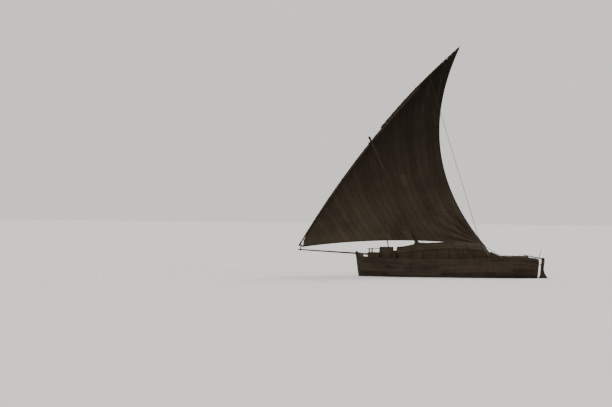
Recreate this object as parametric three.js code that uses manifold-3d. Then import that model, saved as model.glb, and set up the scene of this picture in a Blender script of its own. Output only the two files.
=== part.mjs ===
// A planked cargo dhow under sail: hull, decks, matting hold cover, raked mast, lateen yard, sail and hung rudder.
// Millimetres. +X is the bow, +Y is port, +Z is up. The origin lies amidships, on the centreline, at the waterline.
import * as THREE from "three";
import { mergeVertices } from "three/addons/utils/BufferGeometryUtils.js";
import Module from "manifold-3d";

const wasm = await Module();
wasm.setup();
const { lerp, clamp, degToRad } = THREE.MathUtils;

// Fits and thicknesses
const GAP = 0.3; // between pieces that touch
const PLANK = 80; // planking and frames together
const KEEL_BOTTOM = -1350;
const KEEL_HALF = 85;
const BOTTOM_HALF = 90; // half-breadth of the hull along its rabbet
const POST_HALF = 75; // stem and sternpost
const FAR = 30000; // reach of a cutting block

// Profile of the ends, seen from the side
const STEM_AT_WATER = 7730;
const STEM_RAKE = 0.137; // forward for each unit up
const STEM_TOP = 2190;
const STEM_DEPTH = 170;
const FOREFOOT_CURVE = 500; // how far the stem has curved aft at the keel's underside
const POST_AT_WATER = -7870; // aft face of the sternpost
const POST_RAKE = 0.0892; // aft for each unit up
const POST_DEPTH = 140;
const RAKE_ANGLE = Math.atan(POST_RAKE);
const KEEL_END = 6750;

// Sections of the hull. Columns: place along the sheer, half-breadth there, fullness of the bilge, hollow towards
// the keel, height of the rabbet, height of the sheer.
const SECTIONS = [
  [-7868, 1560, 2.6, 2.6, -1100, 1550],
  [-7300, 1740, 2.6, 2.3, -1105, 1612],
  [-6400, 1950, 2.6, 1.8, -1115, 1685],
  [-5200, 2140, 2.75, 1.35, -1125, 1715],
  [-3600, 2310, 2.9, 1.0, -1140, 1690],
  [-2000, 2410, 3.0, 0.82, -1150, 1625],
  [-300, 2450, 3.0, 0.74, -1150, 1560],
  [1500, 2430, 3.0, 0.72, -1150, 1540],
  [3000, 2330, 2.9, 0.78, -1150, 1545],
  [4300, 2120, 2.6, 0.95, -1150, 1575],
  [5500, 1760, 2.3, 1.15, -1150, 1605],
  [6400, 1300, 2.0, 1.3, -1150, 1635],
  [7000, 900, 1.8, 1.35, -1150, 1660],
  [7450, 520, 1.5, 1.35, -1150, 1680],
  [7790, 110, 1.3, 1.3, -1150, 1695],
];
const WALE_LEVELS = [0.84, 0.895]; // lower and upper edge of the wale
const SKIN_LEVELS = [0, 0.05, 0.12, 0.22, 0.35, 0.5, 0.67, ...WALE_LEVELS, 1]; // shares of rabbet to sheer
const AFT_END = SECTIONS[0][0];
const FORE_END = SECTIONS[SECTIONS.length - 1][0];

// Decks and what stands on them
const FORE_DECK = { from: 4700, to: 7700, top: 1450, thick: 60 };
const POOP_DECK = { to: -3660, top: 1520, thick: 60 };
const SIDE_DECK = { top: 1500, thick: 60, inner: 540 };
const BULKHEAD = 60;
const FLOOR_TOP = -620;
const FLOOR_THICK = 40;
const CAP = { inner: 155, outer: 35, height: 60 };
const WALE_OUT = 45;
// Columns: name, aft face, fore face, underside
const BEAMS = [
  ["beam_aft", -1300, -1100, 1300],
  ["mast_beam", 1250, 2500, 1250],
  ["beam_fore", 3400, 3600, 1300],
];
const KEELSON = { from: -3500, to: 4560, half: 130, top: -800 };
const MAST_STEP = { from: 640, to: 1260, half: 240, top: -680 };

// Hold cover. Columns: place, height of the ridge
const RIDGE = [
  [4400, 2580],
  [3420, 2740],
  [2860, 2850],
  [1520, 2980],
  [780, 3050],
  [-320, 3090],
  [-1600, 3065],
  [-2850, 3000],
  [-3190, 2890],
  [-3390, 2640],
  [-3595, 2250],
];
const COVER = { inboard: 380, rise: 500, thick: 40, overhang: 30, screen: 25 };
const MAST_GATE = { from: 1780, to: 3020, half: 260 };
const HOOPS = [4250, 3060, 1640, 200, -1200, -2900];
const HOOP_RADIUS = 32;
const PURLIN_OUT = 700;
const FORE_COVER = { from: 4740, to: 5880, inboard: 400, top: 2610, rise: 330, thick: 35 };
const BOW_SCREEN = { from: 5900, to: 6900, top: 2100 };
const QUARTER_BOARD = { from: -7000, to: -4400, top: 1900 };
const GALLEY = { from: -4400, to: -3740, half: 420, aftTop: 2000, foreTop: 2280 };

// Spars
const MAST = { foot: -760, footX: 941, lean: 24.8, head: 12210, footRadius: 152, headRadius: 96 };
const MAST_LENGTH = (MAST.head - MAST.foot) / Math.cos(degToRad(MAST.lean));
const SPRIT = { heelX: 6400, tipX: 13020, heelRadius: 77, tipRadius: 50, tipY: 28, atStemZ: 2000, rise: 0.0541 };
const YARD_HEEL = new THREE.Vector3(13000, -120, 2560);
const YARD_PEAK = new THREE.Vector3(-930, -400, 20170);
const YARD_BOW = 750;
const YARD_RADII = [
  [0, 52],
  [0.2, 95],
  [0.45, 122],
  [0.62, 112],
  [0.78, 80],
];
const TOP_POLE_RADII = [
  [0.56, 55],
  [0.7, 66],
  [0.85, 55],
  [1, 36],
];
const HEEL_RING_AT = 0.016; // share of the yard's length
const SLING_AT = 0.49;
const SERVICE = { radius: 75, length: 96, segments: 16 }; // rope wound round the yard's heel
const ROPE = 18;

// Sail
const CLEW = new THREE.Vector3(-3290, -2300, 2770);
const LEECH_HOLLOW = 2770;
const FOOT_ARCH = 600;
const BELLY = 0.085; // share of each row's breadth
const SAIL_THICK = 12;
const SLING_ROOM = { radius: 335, length: 400 };

// Rudder, measured from the sternpost's aft face along the raked post
const AXIS_AFT = 90;
const RUDDER_HALF = 60;
const PIN_RADIUS = 16;
const EYE = { hole: 19, rim: 45, height: 50 };
const GUDGEONS = [
  ["gudgeon_upper", 1150],
  ["gudgeon_lower", -800],
];

const material = (color, roughness, metalness = 0) => new THREE.MeshStandardMaterial({ color, roughness, metalness });
const PLANKING = material(0x2b241d, 0.8);
const DECKING = material(0x5a4a38, 0.85);
const TIMBER = material(0x3a2f25, 0.8);
const POLE = material(0x4a3a2b, 0.75);
const MATTING = material(0x5c4d36, 0.95);
const CANVAS = material(0x3b332b, 0.95);
const CORDAGE = material(0x6a5a41, 0.95);
const IRON = material(0x2c2a29, 0.6, 0.8);

const dhow = new THREE.Group();

// A smooth line through the rows of a table, from the place in column 0 to the value in the given column.
function through(rows, column) {
  const place = (i) => rows[clamp(i, 0, rows.length - 1)][0];
  const value = (i) => rows[clamp(i, 0, rows.length - 1)][column];
  const slope = (i) => (value(i + 1) - value(i - 1)) / (place(i + 1) - place(i - 1));
  return (x) => {
    const after = rows.findIndex((row) => row[0] >= x);
    const i = after < 0 ? rows.length - 2 : Math.max(after - 1, 0);
    const span = place(i + 1) - place(i);
    const q = clamp((x - place(i)) / span, 0, 1);
    const a = value(i);
    const b = value(i + 1);
    const bendA = slope(i) * span - (b - a);
    const bendB = (b - a) - slope(i + 1) * span;
    return lerp(a, b, q) + q * (1 - q) * (bendA * (1 - q) + bendB * q);
  };
}

// Straight runs between the rows of a table whose places may rise or fall.
function along(rows, x) {
  const rising = rows[0][0] < rows[1][0];
  const i = clamp(rows.findIndex((row) => (rising ? row[0] >= x : row[0] <= x)) - 1, 0, rows.length - 2);
  return lerp(rows[i][1], rows[i + 1][1], (x - rows[i][0]) / (rows[i + 1][0] - rows[i][0]));
}

const halfAt = through(SECTIONS, 1);
const fullnessAt = through(SECTIONS, 2);
const hollowAt = through(SECTIONS, 3);
const rabbetAt = through(SECTIONS, 4);
const sheerAt = through(SECTIONS, 5);

// Solids
function solid(geometry) {
  const bare = geometry.index ? geometry.toNonIndexed() : geometry.clone();
  const merged = mergeVertices(new THREE.BufferGeometry().setAttribute("position", bare.attributes.position), 1e-3);
  const position = merged.attributes.position;
  const corners = merged.index.array;
  const [a, b, c] = [new THREE.Vector3(), new THREE.Vector3(), new THREE.Vector3()];
  let volume = 0;
  for (let i = 0; i < corners.length; i += 3) {
    a.fromBufferAttribute(position, corners[i]);
    b.fromBufferAttribute(position, corners[i + 1]);
    c.fromBufferAttribute(position, corners[i + 2]);
    volume += a.dot(b.cross(c));
  }
  const triVerts = new Uint32Array(corners);
  if (volume < 0) triVerts.reverse();
  return new wasm.Manifold(new wasm.Mesh({ numProp: 3, vertProperties: position.array, triVerts }));
}

function add(name, shape, finish, group = dhow) {
  const made = shape.getMesh();
  const geometry = new THREE.BufferGeometry();
  geometry.setAttribute("position", new THREE.BufferAttribute(new Float32Array(made.vertProperties), 3));
  geometry.setIndex(new THREE.BufferAttribute(new Uint32Array(made.triVerts), 1));
  geometry.computeVertexNormals();
  const mesh = new THREE.Mesh(geometry, finish);
  mesh.name = name;
  group.add(mesh);
  return mesh;
}

// A closed skin over sections that are rings of the same even count. Each end is closed from side to side.
function loft(rings) {
  const count = rings[0].length;
  const last = (rings.length - 1) * count;
  const index = [];
  const quad = (a, b, c, d) => index.push(a, b, c, a, c, d);
  for (let r = 0; r < last; r += count) {
    for (let i = 0; i < count; i++) {
      const j = (i + 1) % count;
      quad(r + i, r + j, r + count + j, r + count + i);
    }
  }
  for (let i = 0; i < count / 2 - 1; i++) {
    quad(i + 1, i, count - 1 - i, count - 2 - i);
    quad(last + i, last + i + 1, last + count - 2 - i, last + count - 1 - i);
  }
  const geometry = new THREE.BufferGeometry();
  geometry.setAttribute("position", new THREE.Float32BufferAttribute(rings.flat(2), 3));
  geometry.setIndex(index);
  return solid(geometry);
}

const block = (x0, x1, y0, y1, z0, z1) =>
  solid(new THREE.BoxGeometry(x1 - x0, y1 - y0, z1 - z0).translate((x0 + x1) / 2, (y0 + y1) / 2, (z0 + z1) / 2));

// A slab whose outline is drawn in the side view, x then z, between two breadths.
function slab(outline, y0, y1) {
  const shape = outline instanceof THREE.Shape ? outline : new THREE.Shape(outline.map(([x, z]) => new THREE.Vector2(x, z)));
  const geometry = new THREE.ExtrudeGeometry(shape, { depth: y1 - y0, bevelEnabled: false, curveSegments: 10 });
  return solid(geometry.rotateX(Math.PI / 2).translate(0, y1, 0));
}

// A flat plate whose outline is drawn in plan, x then y, between two heights.
const plateGeometry = (shape, z0, z1, curveSegments) =>
  new THREE.ExtrudeGeometry(shape, { depth: z1 - z0, bevelEnabled: false, curveSegments }).translate(0, 0, z0);
const plate = (shape, z0, z1) => solid(plateGeometry(shape, z0, z1, 6));

// A round spar or rope through points, with a radius at each. Corners lie along the reference direction.
function spar(points, radii, sides = 8, reference = new THREE.Vector3(0, 1, 0)) {
  return loft(
    points.map((point, i) => {
      const before = points[Math.max(i - 1, 0)];
      const after = points[Math.min(i + 1, points.length - 1)];
      const forward = after.clone().sub(before).normalize();
      const side = reference.clone().addScaledVector(forward, -reference.dot(forward)).normalize();
      const up = forward.clone().cross(side);
      const radius = Array.isArray(radii) ? radii[i] : radii;
      return Array.from({ length: sides }, (_, k) => {
        const turn = (2 * Math.PI * k) / sides;
        const place = point.clone().addScaledVector(side, radius * Math.cos(turn));
        return place.addScaledVector(up, radius * Math.sin(turn)).toArray();
      });
    }),
  );
}

// Hull form
const stemX = (z) => STEM_AT_WATER + STEM_RAKE * z - FOREFOOT_CURVE * (Math.max(0, -z) / -KEEL_BOTTOM) ** 2;
const rabbetX = (z) => stemX(z) - STEM_DEPTH;
const transomX = (z) => POST_AT_WATER + POST_DEPTH - POST_RAKE * z;
const alongHull = (place, z) => lerp(transomX(z), rabbetX(z), (place - AFT_END) / (FORE_END - AFT_END));

// Half-breadth of the planking's outside: full at the sheer, rounding in at the bilge, hollow near the keel.
function skinHalf(place, z) {
  const share = clamp((z - rabbetAt(place)) / (sheerAt(place) - rabbetAt(place)), 0, 1);
  const round = (1 - (1 - share) ** fullnessAt(place)) ** hollowAt(place);
  return lerp(BOTTOM_HALF, halfAt(place), round);
}

const skinHeights = (place) => SKIN_LEVELS.map((level) => lerp(rabbetAt(place), sheerAt(place), level));

function bothSides(place, heights, halfOf) {
  const port = heights.map((z) => [alongHull(place, z), halfOf(z), z]);
  const starboard = port.map(([x, y, z]) => [x, -y, z]);
  return [...starboard.reverse(), ...port];
}

// The outside of the planking as one solid, larger all round by a small amount where other timbers are cut to it.
function outside(larger = 0) {
  return loft(
    SECTIONS.map(([place]) => {
      const heights = skinHeights(place);
      const ring = bothSides(place, heights, (z) => skinHalf(place, z) + larger);
      const shift = place === AFT_END ? -larger : place === FORE_END ? larger : 0;
      return ring.map(([x, y, z]) => [x + shift, y, z - (z === heights[0] ? larger : 0)]);
    }),
  );
}

const INNER_HALF = 40; // least half-breadth inside
const INNER_RAISE = 150; // least timber over the rabbet
const INNER_TOP = 400; // above the sheer

function innerBottom(place) {
  const lowest = rabbetAt(place) + INNER_RAISE;
  let low = lowest;
  let high = sheerAt(place);
  if (skinHalf(place, lowest) - PLANK > INNER_HALF) return lowest;
  while (high - low > 1) {
    const middle = (low + high) / 2;
    if (skinHalf(place, middle) - PLANK > INNER_HALF) high = middle;
    else low = middle;
  }
  return high;
}

// The space inside the planking, smaller all round by a small amount for what is fitted into it.
function inside(smaller = 0) {
  const places = [AFT_END - 60, ...SECTIONS.slice(0, -2).map((row) => row[0]), 7330];
  const steps = 10;
  return loft(
    places.map((place) => {
      const bottom = innerBottom(place) + smaller;
      const top = sheerAt(place) + INNER_TOP;
      const heights = Array.from({ length: steps + 1 }, (_, k) => lerp(bottom, top, (k / steps) ** 1.6));
      return bothSides(place, heights, (z) => Math.max(INNER_HALF, skinHalf(place, z) - PLANK) - smaller);
    }),
  );
}

// A plank that follows the sheer on both sides of the boat, given by its four edges at each place.
function railing(name, from, to, finish, edges, trim = (shape) => shape) {
  const between = SECTIONS.map((row) => row[0]).filter((place) => place > from && place < to);
  const places = [from, ...between, to];
  for (const [side, sign] of [["port", 1], ["starboard", -1]]) {
    const rings = places.map((place) => {
      const { inner, outer, bottom, top } = edges(place);
      const corner = (y, z) => [alongHull(place, z), sign * y, z];
      const ring = [corner(inner, bottom), corner(outer, bottom), corner(outer, top), corner(inner, top)];
      return sign > 0 ? ring.reverse() : ring;
    });
    add(name + "_" + side, trim(loft(rings)), finish);
  }
}

const shellSpace = inside();
const fitted = inside(GAP);
add("hull_shell", outside().subtract(shellSpace), PLANKING);

// Keel, stem and sternpost
const keelRings = SECTIONS.map((row) => row[0]).map((place) => {
  const top = rabbetAt(place) - GAP;
  const corner = (y, z) => [Math.min(alongHull(place, z), KEEL_END), y, z];
  return [corner(-KEEL_HALF, KEEL_BOTTOM), corner(KEEL_HALF, KEEL_BOTTOM), corner(KEEL_HALF, top), corner(-KEEL_HALF, top)];
});
const wholeRings = keelRings.filter((ring) => ring[0][0] < KEEL_END && ring[2][0] < KEEL_END);
const endRing = keelRings[keelRings.length - 1];
add("keel", loft([...wholeRings, endRing.map(([, y, z]) => [KEEL_END, y, z])]), PLANKING);

const foreHeights = skinHeights(FORE_END);
const stemOutline = [
  ...foreHeights.map((z) => [rabbetX(z) + GAP, z]).reverse(),
  [rabbetX(foreHeights[0]) + GAP, foreHeights[0] - GAP],
  [KEEL_END + GAP, foreHeights[0] - GAP],
  [KEEL_END + GAP, KEEL_BOTTOM],
  [KEEL_END + 130, KEEL_BOTTOM],
  ...[-1300, -1150, -900, -600, -300, 0].map((z) => [stemX(z), z]),
  [stemX(STEM_TOP), STEM_TOP],
  [rabbetX(STEM_TOP) + GAP, STEM_TOP],
];
add("stem", slab(stemOutline, -POST_HALF, POST_HALF), PLANKING);

// The stern's own frame: z runs up the sternpost, x is zero on the post's aft face.
const stern = new THREE.Group();
stern.position.x = POST_AT_WATER;
stern.rotation.y = -RAKE_ANGLE;
dhow.add(stern);
stern.updateMatrixWorld(true);

const postFore = POST_DEPTH * Math.cos(RAKE_ANGLE);
add("sternpost", block(0, postFore - GAP, -POST_HALF, POST_HALF, KEEL_BOTTOM, 1480), PLANKING, stern);
const transomBoards = new THREE.BoxGeometry(60, 5000, 4000).translate(postFore + 30, 0, 0);
const transomTop = block(-FAR, FAR, -FAR, FAR, -FAR, 1550);
add("transom", solid(transomBoards.applyMatrix4(stern.matrixWorld)).intersect(fitted).intersect(transomTop), PLANKING);

// Decks, bulkheads, floor and beams, each cut to the planking's inside
const transomInside = (z) => transomX(z) + 70;
const poop = slab(
  [
    [transomInside(1460), POOP_DECK.top - POOP_DECK.thick],
    [POOP_DECK.to, POOP_DECK.top - POOP_DECK.thick],
    [POOP_DECK.to, POOP_DECK.top],
    [transomInside(POOP_DECK.top), POOP_DECK.top],
  ],
  -3000,
  3000,
);
add("poop_deck", poop.intersect(fitted), DECKING);
const foreDeck = block(FORE_DECK.from, FORE_DECK.to, -3000, 3000, FORE_DECK.top - FORE_DECK.thick, FORE_DECK.top);
add("fore_deck", foreDeck.intersect(fitted), DECKING);

const hold = { from: POOP_DECK.to + BULKHEAD, to: FORE_DECK.from - BULKHEAD };
const foreBulkhead = block(hold.to, FORE_DECK.from - GAP, -3000, 3000, -3000, FORE_DECK.top);
add("fore_bulkhead", foreBulkhead.intersect(fitted), PLANKING);
const aftBulkhead = block(POOP_DECK.to + GAP, hold.from, -3000, 3000, -3000, POOP_DECK.top);
add("aft_bulkhead", aftBulkhead.intersect(fitted), PLANKING);

// Mast: a pole that narrows upwards to a neck and a knob, stepped on the keelson
const mastProfile = [
  [0, -250],
  [MAST.footRadius, -250],
  [MAST.footRadius + 4, 2500],
  [MAST.headRadius, MAST_LENGTH - 560],
  [78, MAST_LENGTH - 450],
  [78, MAST_LENGTH - 300],
  [106, MAST_LENGTH - 210],
  [106, MAST_LENGTH - 50],
  [62, MAST_LENGTH],
  [0, MAST_LENGTH],
];
function mastPole(larger, foot) {
  const profile = mastProfile.map(([r, h], i) => new THREE.Vector2(r === 0 ? 0 : r + larger, h + (i > 7 ? larger : 0)));
  const geometry = new THREE.LatheGeometry(profile, 16).rotateX(Math.PI / 2);
  geometry.rotateY(degToRad(MAST.lean)).translate(MAST.footX, 0, MAST.foot);
  return solid(geometry).intersect(block(-FAR, FAR, -FAR, FAR, foot, FAR));
}
const mastPlace = (z) => MAST.footX + (z - MAST.foot) * Math.tan(degToRad(MAST.lean));
add("mast", mastPole(0, MAST.foot + GAP), POLE);
const mastSocket = mastPole(1, MAST.foot);
const mastFit = mastPole(GAP, MAST.foot - 100);

const keelson = block(KEELSON.from, KEELSON.to, -KEELSON.half, KEELSON.half, -2000, KEELSON.top);
const mastStep = block(MAST_STEP.from, MAST_STEP.to, -MAST_STEP.half, MAST_STEP.half, KEELSON.top - 60, MAST_STEP.top);
add("keelson", keelson.add(mastStep).intersect(fitted).subtract(mastSocket), TIMBER);
const holdLength = block(hold.from + GAP, hold.to - GAP, -FAR, FAR, -FAR, FAR);
const withinHold = (shape) => shape.intersect(fitted).intersect(holdLength);
const floor = block(-FAR, FAR, -FAR, FAR, FLOOR_TOP - FLOOR_THICK, FLOOR_TOP);
add("hold_floor", withinHold(floor).subtract(mastPole(15, MAST.foot)), DECKING);

const beamTop = SIDE_DECK.top - SIDE_DECK.thick - GAP;
for (const [name, aft, fore, bottom] of BEAMS) {
  const beam = block(aft, fore, -3000, 3000, bottom, beamTop).intersect(fitted);
  add(name, name === "mast_beam" ? beam.subtract(mastSocket) : beam, TIMBER);
}

railing("side_deck", hold.from - 100, hold.to + 100, DECKING, (place) => ({
  inner: halfAt(place) - SIDE_DECK.inner,
  outer: halfAt(place) + 50,
  bottom: SIDE_DECK.top - SIDE_DECK.thick,
  top: SIDE_DECK.top,
}), withinHold);

// Cap rails on the planking's edge, wales along its side
const capEdges = (place, larger = 0) => ({
  inner: Math.max(halfAt(place) - CAP.inner, 20) - larger,
  outer: halfAt(place) + CAP.outer + larger,
  bottom: sheerAt(place) + GAP - larger,
  top: sheerAt(place) + CAP.height + larger,
});
railing("gunwale", AFT_END, FORE_END - 4, PLANKING, capEdges);
const [capFitPort, capFitStarboard] = [1, -1].map((sign) =>
  loft(
    SECTIONS.map(([place]) => {
      const { inner, outer, bottom, top } = capEdges(place, GAP);
      const corner = (y, z) => [alongHull(place, z), sign * y, z];
      return [corner(inner, bottom), corner(outer, bottom), corner(outer, top), corner(inner, top)];
    }),
  ),
);

// A wale's inner face lies on the planking's own facets, so its edges follow two of the skin's levels.
for (const [side, sign] of [["port", 1], ["starboard", -1]]) {
  const rings = SECTIONS.slice(0, -1).map(([place]) => {
    const [bottom, top] = WALE_LEVELS.map((level) => lerp(rabbetAt(place), sheerAt(place), level));
    const corner = (z, out) => [alongHull(place, z), sign * (skinHalf(place, z) + out), z];
    const ring = [corner(bottom, GAP), corner(bottom, WALE_OUT), corner(top, WALE_OUT), corner(top, GAP)];
    return sign > 0 ? ring.reverse() : ring;
  });
  add("wale_" + side, loft(rings), PLANKING);
}

const capBoard = (top) => (place) => ({
  inner: halfAt(place) - 60,
  outer: halfAt(place) - 25,
  bottom: sheerAt(place) + CAP.height - 10,
  top,
});
const onCap = (shape) => shape.subtract(capFitPort).subtract(capFitStarboard);
railing("quarter_board", QUARTER_BOARD.from, QUARTER_BOARD.to, DECKING, capBoard(QUARTER_BOARD.top), onCap);
railing("bow_screen", BOW_SCREEN.from, BOW_SCREEN.to, MATTING, capBoard(BOW_SCREEN.top), onCap);

// Hold cover: a crowned roof of matting over hoops and purlins, with an upright screen along each side
const coverHalf = (x) => halfAt(x) - COVER.inboard;
const underRoof = (x, y) => along(RIDGE, x) - COVER.thick - COVER.rise * (y / coverHalf(x)) ** 2;
const ROOF_STEPS = 10;
function roofRing(x) {
  const reach = coverHalf(x) + COVER.overhang;
  const under = Array.from({ length: ROOF_STEPS + 1 }, (_, k) => {
    const y = lerp(-reach, reach, k / ROOF_STEPS);
    return [x, y, underRoof(x, y)];
  });
  const over = under.map(([, y, z]) => [x, y, z + COVER.thick]);
  return [...under, ...over.reverse()];
}
const mastGate = block(MAST_GATE.from, MAST_GATE.to, -MAST_GATE.half, MAST_GATE.half, 2000, 4000);
add("cover_roof", loft(RIDGE.map((row) => roofRing(row[0]))).subtract(mastGate), MATTING);

const SCREEN_SINK = 4; // the roof's flat facets dip a little under its true curve
for (const [side, sign] of [["port", 1], ["starboard", -1]]) {
  const rings = RIDGE.map(([x]) => {
    const outer = sign * coverHalf(x);
    const inner = sign * (coverHalf(x) - COVER.screen);
    const top = underRoof(x, outer) - SCREEN_SINK;
    const bottom = SIDE_DECK.top + GAP;
    return [[x, inner, bottom], [x, outer, bottom], [x, outer, top], [x, inner, top]];
  });
  add("cover_screen_" + side, loft(rings), MATTING);
}

const alongX = new THREE.Vector3(1, 0, 0);
const hoopInset = COVER.screen + HOOP_RADIUS + 14;
const hoopZ = (x, y) => underRoof(x, y) - HOOP_RADIUS - 12;
function hoop(x) {
  const reach = coverHalf(x) - hoopInset;
  const arch = Array.from({ length: 9 }, (_, k) => {
    const y = lerp(-reach, reach, k / 8);
    return new THREE.Vector3(x, y, hoopZ(x, y));
  });
  const foot = (y) => new THREE.Vector3(x, y, SIDE_DECK.top + GAP);
  return spar([foot(-reach), ...arch, foot(reach)], HOOP_RADIUS, 6, alongX);
}
let coverFrame = hoop(HOOPS[0]);
for (const x of HOOPS.slice(1)) coverFrame = coverFrame.add(hoop(x));
for (const sign of [1, -1]) {
  const run = RIDGE.map((row) => row[0]).filter((x) => x < HOOPS[0] && x > HOOPS[HOOPS.length - 1]);
  const points = [HOOPS[0] + 90, ...run, HOOPS[HOOPS.length - 1] - 60].map(
    (x) => new THREE.Vector3(x, sign * PURLIN_OUT, hoopZ(x, PURLIN_OUT) - 8),
  );
  coverFrame = coverFrame.add(spar(points, HOOP_RADIUS, 6));
}
add("cover_frame", coverFrame, POLE);

function foreCoverRing(x) {
  const half = halfAt(x) - FORE_COVER.inboard;
  const rim = (inset) => {
    const reach = half - inset;
    const foot = FORE_DECK.top + GAP;
    const crown = Array.from({ length: 9 }, (_, k) => {
      const y = lerp(-reach, reach, k / 8);
      return [x, y, FORE_COVER.top - inset - FORE_COVER.rise * (y / half) ** 2];
    });
    return [[x, -reach, foot], ...crown, [x, reach, foot]];
  };
  return [...rim(0), ...rim(FORE_COVER.thick).reverse()];
}
const foreCoverPlaces = [FORE_COVER.from, 5120, 5500, FORE_COVER.to];
add("fore_cover", loft(foreCoverPlaces.map(foreCoverRing)), MATTING);

// Cooking box on the fore end of the poop deck, its lid sloping aft
const galleyOutline = [
  [GALLEY.from, POOP_DECK.top + GAP],
  [GALLEY.to, POOP_DECK.top + GAP],
  [GALLEY.to, GALLEY.foreTop],
  [GALLEY.from, GALLEY.aftTop],
];
add("galley_box", slab(galleyOutline, -GALLEY.half, GALLEY.half), TIMBER);

// Bowsprit beside the stem head, its heel clasped by two bitts that stand on the fore deck
const spritRadius = (x) => lerp(SPRIT.heelRadius, SPRIT.tipRadius, (x - SPRIT.heelX) / (SPRIT.tipX - SPRIT.heelX));
const stemFace = stemX(STEM_TOP);
const spritAtStem = POST_HALF + spritRadius(stemFace) + GAP;
const spritSlope = (SPRIT.tipY - spritAtStem) / (SPRIT.tipX - stemFace);
const spritY = (x) => spritAtStem + spritSlope * (x - stemFace);
const spritZ = (x) => SPRIT.atStemZ + SPRIT.rise * (x - stemFace);
const spritPoint = (x) => new THREE.Vector3(x, spritY(x), spritZ(x));
const spritEnds = [SPRIT.heelX, SPRIT.tipX];
add("bowsprit", spar(spritEnds.map(spritPoint), spritEnds.map(spritRadius), 12), POLE);

const BITT_HALF = 55;
// Columns: name, place, side of the bowsprit, top
const BOW_BITTS = [
  ["bow_bitt_port", 6800, 1, 2420],
  ["bow_bitt_starboard", 6560, -1, 2490],
];
for (const [name, x, side, top] of BOW_BITTS) {
  const slant = Math.abs(spritSlope) * BITT_HALF;
  const y = spritY(x) + side * (spritRadius(x) + BITT_HALF + slant + GAP + 0.3);
  const post = block(x - BITT_HALF, x + BITT_HALF, y - BITT_HALF, y + BITT_HALF, FORE_DECK.top + GAP, top);
  add(name, post, TIMBER);
}

// Stern fittings: rail over the transom, staff, and two bitts for the sheet
const TAFFRAIL = { from: -7960, to: -7790, half: 1400, bottom: 1550 + GAP, top: 1625 };
add("taffrail", block(TAFFRAIL.from, TAFFRAIL.to, -TAFFRAIL.half, TAFFRAIL.half, TAFFRAIL.bottom, TAFFRAIL.top), TIMBER);
const STAFF = { x: -7900, y: 520, lean: -260, top: 2500, radius: 26 };
const staffPoints = [
  new THREE.Vector3(STAFF.x, STAFF.y, TAFFRAIL.top - 20),
  new THREE.Vector3(STAFF.x + STAFF.lean, STAFF.y, STAFF.top),
];
const staffSeat = block(-FAR, FAR, -FAR, FAR, TAFFRAIL.top + GAP, FAR);
add("stern_staff", spar(staffPoints, STAFF.radius).intersect(staffSeat), POLE);
const SHEET_BITT = { x: -4900, y: 1560, half: 70, top: 1880 };
for (const [side, sign] of [["port", 1], ["starboard", -1]]) {
  const y = sign * SHEET_BITT.y;
  const { x, half, top } = SHEET_BITT;
  add("sheet_bitt_" + side, block(x - half, x + half, y - half, y + half, POOP_DECK.top + GAP, top), TIMBER);
}

// Yard: a bowed main pole with a lighter top pole lashed along its upper side
const yardChord = YARD_PEAK.clone().sub(YARD_HEEL);
const outward = new THREE.Vector3(-yardChord.z, 0, yardChord.x).normalize().negate();
const yardCentre = (t) =>
  YARD_HEEL.clone().addScaledVector(yardChord, t).addScaledVector(outward, 4 * YARD_BOW * t * (1 - t));
const yardRadius = (t) => along(YARD_RADII, t);
const topPoleRadius = (t) => along(TOP_POLE_RADII, t);
const [fishFrom, fishTo] = [TOP_POLE_RADII[0][0], YARD_RADII[YARD_RADII.length - 1][0]];
const fishOffset = (t) => yardRadius(t) + topPoleRadius(t) + 2.7 * GAP;
const topPoleOffset = (t) => (t < fishTo ? fishOffset(t) : fishOffset(fishTo) * (1 - t) / (1 - fishTo));
const yardShares = [0, 0.1, 0.2, 0.32, 0.45, 0.5, fishFrom, 0.62, 0.7, fishTo];
const topShares = [fishFrom, 0.62, 0.7, fishTo, 0.85, 0.92, 1];
const topPolePoint = (t) => yardCentre(t).addScaledVector(outward, topPoleOffset(t));

// The yard swings about the line from its heel to the sling, where a collar of rope service is round on that line.
const sling = yardCentre(SLING_AT);
const heelRing = yardCentre(HEEL_RING_AT);
const swingAxis = sling.clone().sub(heelRing).normalize();
const swingTurn = new THREE.Quaternion().setFromUnitVectors(new THREE.Vector3(0, 0, 1), swingAxis);
const onSwing = (geometry, at) => solid(geometry.applyQuaternion(swingTurn).translate(at.x, at.y, at.z));
const service = new THREE.CylinderGeometry(SERVICE.radius, SERVICE.radius, SERVICE.length, 2 * SERVICE.segments);

const rig = new THREE.Group();
dhow.add(rig);
const yardPole = spar(yardShares.map(yardCentre), yardShares.map(yardRadius), 12);
add("yard", yardPole.add(onSwing(service.rotateX(Math.PI / 2), heelRing)), POLE, rig);
add("yard_top", spar(topShares.map(topPolePoint), topShares.map(topPoleRadius), 8), POLE, rig);

// Sail: rows run from the yard to the leech, bellied to starboard
const SAIL_ROWS = 14;
const SAIL_COLUMNS = 10;
const LUFF = { from: 0.012, to: 0.993 };
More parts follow.
